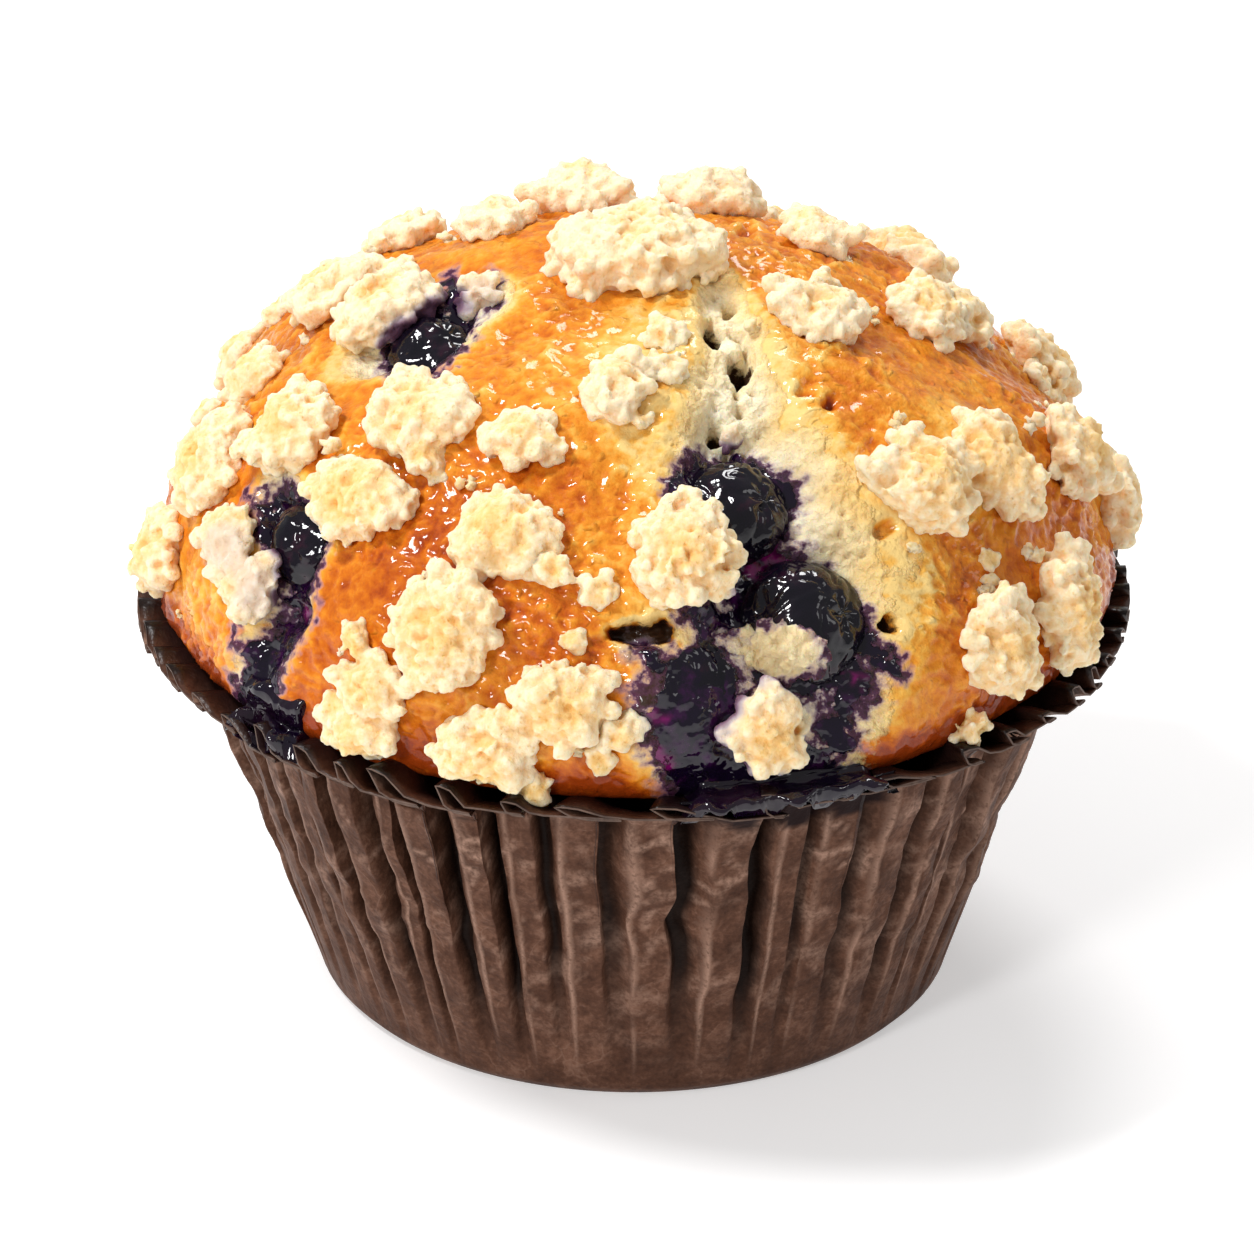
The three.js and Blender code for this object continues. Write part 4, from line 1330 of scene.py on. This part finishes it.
def make_crumbs(material, lump_centres, tree):
    """Small broken bits of a few grains each, most of them close to a lump."""
    draw = np.random.default_rng(307)
    shape, shape_faces = ball(2)
    middle = np.array([0.0, 0.0, DOME_SEAT - 6])
    points = []
    for _ in range(CRUMB_COUNT):
        centre = lump_centres[draw.integers(len(lump_centres))]
        away = unit(draw.normal(size=3)) * (CRUMB_NEAREST + CRUMB_SPAN * draw.random())
        toward = unit(centre + away - middle)
        spot, out, _, _ = tree.ray_cast(Vector(middle + toward * 60), Vector(-toward))
        if spot is None or spot.z < DOME_SEAT + 0.5:
            continue
        if patch(photo_pixels(np.array([spot])), JUICE_SPOTS, 20)[0] > 0 and spot.y < 0:
            continue
        size = 0.22 + 0.42 * draw.random() ** 1.8
        for _ in range(CRUMB_GRAINS):
            place = np.array(spot) + np.array(out) * size * 0.2 + draw.normal(size=3) * size * 0.6
            lumpy = 0.55 + 0.8 * draw.random((len(shape), 1))
            points.append(place + shape * lumpy * size * (0.7 + 0.5 * draw.random(3)))
    faces = [shape_faces + i * len(shape) for i in range(len(points))]
    everything = np.concatenate(points)
    warm = 0.12 + 0.2 * noise(everything, 4.0, 311)
    piece = make_object("crumbs", everything, np.concatenate(faces).tolist(), [material],
                        {"warm": np.clip(warm, 0, 1), "stain": np.zeros(len(everything))})
    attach(piece, "root")
    return piece


# The bit of cake that lies on the large berry
ISLAND_CENTRE = (775, 650)
ISLAND_HALF = (55, 31)
ISLAND_GRAINS = 190


def make_island(tree, material):
    draw = np.random.default_rng(331)
    centres = []
    for _ in range(ISLAND_GRAINS):
        across, down = unit(draw.normal(size=2)) * draw.random() ** 0.5
        down = down * (0.72 + 0.28 * math.sin(3.1 * across + 0.6)) + 0.3 * across
        place, _ = seen_at(tree, ISLAND_CENTRE[0] + across * ISLAND_HALF[0],
                           ISLAND_CENTRE[1] + down * ISLAND_HALF[1])
        centres.append(place)
    centres = np.array(centres)
    points, faces = many_balls(centres, 0.26 + 0.5 * draw.random(len(centres)) ** 2)
    piece = make_object("cake_island", points, faces.tolist(), [material])
    fuse(piece, VOXEL)
    skin = mesh_points(piece.data)
    grains = cell_distance(skin, 0.6, 337)
    normals = mesh_normals(piece.data)
    skin = skin + normals * (0.5 * (0.42 - grains))[:, None]
    set_points(piece.data, skin)
    hollow_shade = hollows(skin, mesh_faces(piece.data), normals, 8)
    pixels = photo_pixels(skin) + 12 * fractal(skin, 1.4, 3, 341)[:, None]
    edge = np.hypot((pixels[:, 0] - ISLAND_CENTRE[0]) / ISLAND_HALF[0],
                    (pixels[:, 1] - ISLAND_CENTRE[1]) / ISLAND_HALF[1])
    # The island's hollows get the same painted shade as the cake's.
    values = {"torn": 1.0, "stain": 0.04 + 0.6 * smoothstep(0.55, 1.1, edge), "wet": 0.0,
              "tone_and_shade": 0.4, "hole_shade": 0.0, "gild": 0.35, "hollow_shade": hollow_shade + 0.05, "bright": 0.0}
    add_attributes(piece.data, values)
    piece.data.shade_smooth()
    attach(piece, "root")


# Juice that has run out over the brim
JUICE_STATIONS = [(36.1, 35.4), (36.3, 34.0), (36.0, 32.9), (35.9, 32.1), (36.4, 31.8), (37.2, 31.9),
                  (38.1, 32.0), (38.75, 31.7), (38.9, 31.1), (38.5, 30.5)]
JUICE_ACROSS = 90
JUICE_ALONG = 30

# Runs of juice, as (name, from and to in degrees around, first station, thickness, seed)
JUICE_RUNS = [("juice_front", 5, 30, 2, 0.4, 601), ("juice_left", -52, -40, 0, 0.8, 621)]


def make_juice(name, low, high, start, thickness, material, seed):
    """A glossy run over the crust's edge, the gutter and the rim, between two angles around."""
    shares = np.linspace(0, 1, JUICE_ALONG)
    stations = np.array(JUICE_STATIONS[start:])
    steps = np.linspace(0, 1, len(stations))
    line = np.stack([np.interp(shares, steps, stations[:, axis]) for axis in range(2)], axis=-1)
    run = unit(np.gradient(line, axis=0))
    outs = np.stack([-run[:, 1], run[:, 0]], axis=-1)
    if outs[JUICE_ALONG // 2, 1] < 0:
        outs = -outs
    turns = np.radians(np.linspace(low, high, JUICE_ACROSS))
    share, turn = np.meshgrid(shares, turns, indexing="ij")
    spots = about_axis(line[:, :1], turn, line[:, 1:])
    flat = spots.reshape(-1, 3)
    side = np.linspace(0, 1, JUICE_ACROSS)[None, :]
    from_side = np.minimum(side, 1 - side) * 2
    reach = 0.72 + 0.42 * noise(flat * np.array([1.0, 1.0, 0.0]), 2.6, seed).reshape(share.shape)
    from_end = np.minimum(share * 6, (reach - share) * 5)
    edge = np.minimum(from_side * 2.2, from_end)
    edge = edge + 0.22 * noise(flat, 2.0, seed + 1).reshape(share.shape)
    mask = smoothstep(-0.05, 0.55, edge)
    mask[0], mask[-1], mask[:, 0], mask[:, -1] = 0, 0, 0, 0
    lump = 1 + 0.75 * fractal(flat, 2.4, 3, seed + 2).reshape(share.shape)
    out = about_axis(outs[:, :1], turn, outs[:, 1:])
    sunk = 0.25 + 1.4 * (1 - mask)
    top = spots + out * (thickness * mask * lump - sunk)[..., None]
    under = spots - out * (sunk + 0.15 * mask)[..., None]
    points = np.concatenate([top.reshape(-1, 3), under.reshape(-1, 3)])
    number = np.arange(JUICE_ALONG * JUICE_ACROSS).reshape(JUICE_ALONG, JUICE_ACROSS)
    below = number + number.size
    below[0], below[-1], below[:, 0], below[:, -1] = number[0], number[-1], number[:, 0], number[:, -1]
    faces = []
    for i in range(JUICE_ALONG - 1):
        for j in range(JUICE_ACROSS - 1):
            faces.append((number[i, j], number[i, j + 1], number[i + 1, j + 1], number[i + 1, j]))
            faces.append((below[i, j], below[i + 1, j], below[i + 1, j + 1], below[i, j + 1]))
    piece = make_object(name, points, faces, [material])
    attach(piece, "root")
    return piece


# Berries, as (node, name, fineness, degrees of the level side, seed), the large one first
BERRIES = [
    ("blueberry_1", "berry_large", 6, 26, 501),
    ("blueberry_2", "berry_upper", 6, 22, 511),
    ("blueberry_3", "berry_fallen", 5, 20, 521),
    ("blueberry_4", "berry_upper_left", 5, 34, 531),
    ("blueberry_5", "berry_left", 5, 28, 541),
]
SAG = 0.06
FOLD_DEPTH = 0.038
PUCKER_DEPTH = 0.13
PUCKER_WIDTH = 0.42


def make_berry(node, name, material, fineness, flat, seed):
    """A baked berry as large as its node: a slumped ball with a puckered, wrinkled skin, and
    nearly level over some degrees round the side that shines."""
    core, _ = node_shape(node)
    centre = (core.min(axis=0) + core.max(axis=0)) / 2
    out = dome_out(centre[None])[0]
    across = unit(np.cross([0.0, 0.0, 1.0], out))
    tall = np.cross(out, across)
    axes = np.stack([across, tall, out])
    local = (core - centre) @ axes.T
    half = (local.max(axis=0) - local.min(axis=0)) / 2
    middle = (local.max(axis=0) + local.min(axis=0)) / 2
    directions, faces = ball(fineness)
    draw = np.random.default_rng(seed)
    crown = unit(np.array([draw.uniform(-0.6, 0.6), draw.uniform(-0.6, 0.6), 0.9]))
    toward = directions @ crown
    pucker = np.exp(-(np.arccos(np.clip(toward, -1, 1)) / PUCKER_WIDTH) ** 2)
    side = unit(np.cross(crown, [0.3, 0.9, 0.1]))
    spoke = np.arctan2(directions @ np.cross(crown, side), directions @ side)
    sag = fractal(directions * 4.0, 3.2, 2, seed)
    folds = 1 - np.abs(noise(warped(directions * 4.0, 2.2, 1.0, seed + 2), 1.7, seed + 5)) * 2.6
    folds = np.clip(folds, 0, 1) ** 2
    radius = 1 + SAG * sag - FOLD_DEPTH * folds
    radius = radius - PUCKER_DEPTH * pucker * (1 + 0.35 * np.cos(5 * spoke))
    radius = radius + 0.008 * fractal(directions * 4.0, 0.8, 2, seed + 9)
    glint = axes @ unit(unit(CAMERA_PLACE - centre) + unit(np.array(KEY_PLACE) - centre))
    toward = np.maximum(directions @ glint, 1e-3)
    level = math.cos(math.radians(flat))
    dent = smoothstep(level - 0.05, level + 0.02, toward)
    radius = radius * (1 - 0.85 * dent * (1 - np.minimum(level / toward, 1)))
    points = centre + (middle + directions * radius[:, None] * half) @ axes
    piece = make_object(name, points, faces.tolist(), [material])
    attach(piece, "root")
    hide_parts(node)
    return piece


# Stage
def make_floor():
    graph = Graph("floor")
    graph.shade("Base Color", FLOOR_COLOUR)
    graph.shade("Roughness", 0.7)
    graph.shade("Specular IOR Level", 0.1)
    graph.shade("Emission Color", (1, 1, 1))
    graph.shade("Emission Strength", FLOOR_GLOW)
    corners = FLOOR_HALF * np.array([[-1, -1, 0], [1, -1, 0], [1, 1, 0], [-1, 1, 0]])
    floor = make_object("floor", corners, [(0, 1, 2, 3)], [graph.material], smooth=False)


def add_area_light(name, place, target, size, power):
    data = bpy.data.lights.new(name, "AREA")
    data.shape = "DISK"
    data.size = size * MM
    data.energy = power
    light = bpy.data.objects.new(name, data)
    light.location = Vector(place) * MM
    aim = Vector(target) - Vector(place)
    light.rotation_euler = aim.to_track_quat("-Z", "Y").to_euler()
    bpy.context.scene.collection.objects.link(light)


def add_camera():
    data = bpy.data.cameras.new("camera")
    data.lens = LENS
    data.sensor_width = SENSOR
    data.clip_start = 0.01
    data.clip_end = 100
    camera = bpy.data.objects.new("camera", data)
    camera.location = Vector(CAMERA_PLACE) * MM
    camera.rotation_euler = Vector(CAMERA_LOOK).to_track_quat("-Z", "Y").to_euler()
    bpy.context.scene.collection.objects.link(camera)
    bpy.context.scene.camera = camera


def set_world():
    scene = bpy.context.scene
    world = bpy.data.worlds.new("studio")
    world.use_nodes = True
    world.node_tree.nodes["Background"].inputs["Color"].default_value = (1, 1, 1, 1)
    world.node_tree.nodes["Background"].inputs["Strength"].default_value = WORLD_STRENGTH
    scene.world = world
    scene.view_settings.view_transform = "Standard"


add_camera()
set_world()
for light in LIGHTS:
    add_area_light(*light)
make_floor()

paper = paper_material("paper", greasy=False)
greasy_paper = paper_material("greasy_paper", greasy=True)
crumble = crumble_material()
berry = berry_material()

case = make_case([paper, greasy_paper, edge_material()])
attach(case, "root")
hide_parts("paper_case")

cake_finish = cake_material()
cake, cake_tree = make_cake(cake_finish)
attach(cake, "root")
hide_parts("muffin")

FRONT_LIMIT = 2
LEFT_LIMIT = -4
lump_nodes = sorted(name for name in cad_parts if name.startswith("crumble_"))
lump_places = {name: mesh_points(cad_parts[name].data).mean(axis=0) for name in lump_nodes}
front_lumps = [name for name in lump_nodes if lump_places[name][1] < FRONT_LIMIT]
left_lumps = [name for name in front_lumps if lump_places[name][0] < LEFT_LIMIT]
right_lumps = [name for name in front_lumps if name not in left_lumps]
back_lumps = [name for name in lump_nodes if name not in front_lumps]
small_lumps = {side: [(seen_at(cake_tree, x, y), size) for x, y, size in spots]
               for side, spots in SMALL_CLUMPS.items()}
small_back_lumps = [(on_crust(cake_tree, around, up), size) for around, up, size in BACK_CLUMPS]
make_crumble("crumble_left", left_lumps, small_lumps["left"], crumble, VOXEL, 401)
make_crumble("crumble_right", right_lumps, small_lumps["middle"] + small_lumps["right"], crumble,
             VOXEL, 431)
make_crumble("crumble_back", back_lumps, small_back_lumps, crumble, BACK_VOXEL, 461)
make_crumbs(crumble, list(lump_places.values()), cake_tree)

berries = [make_berry(node, name, berry, fineness, flat, seed)
           for node, name, fineness, flat, seed in BERRIES]

cake_and_berry = join_trees([cake, berries[0]])
make_island(cake_and_berry, cake_finish)
juice = juice_material()
for name, low, high, start, thickness, seed in JUICE_RUNS:
    make_juice(name, low, high, start, thickness, juice, seed)
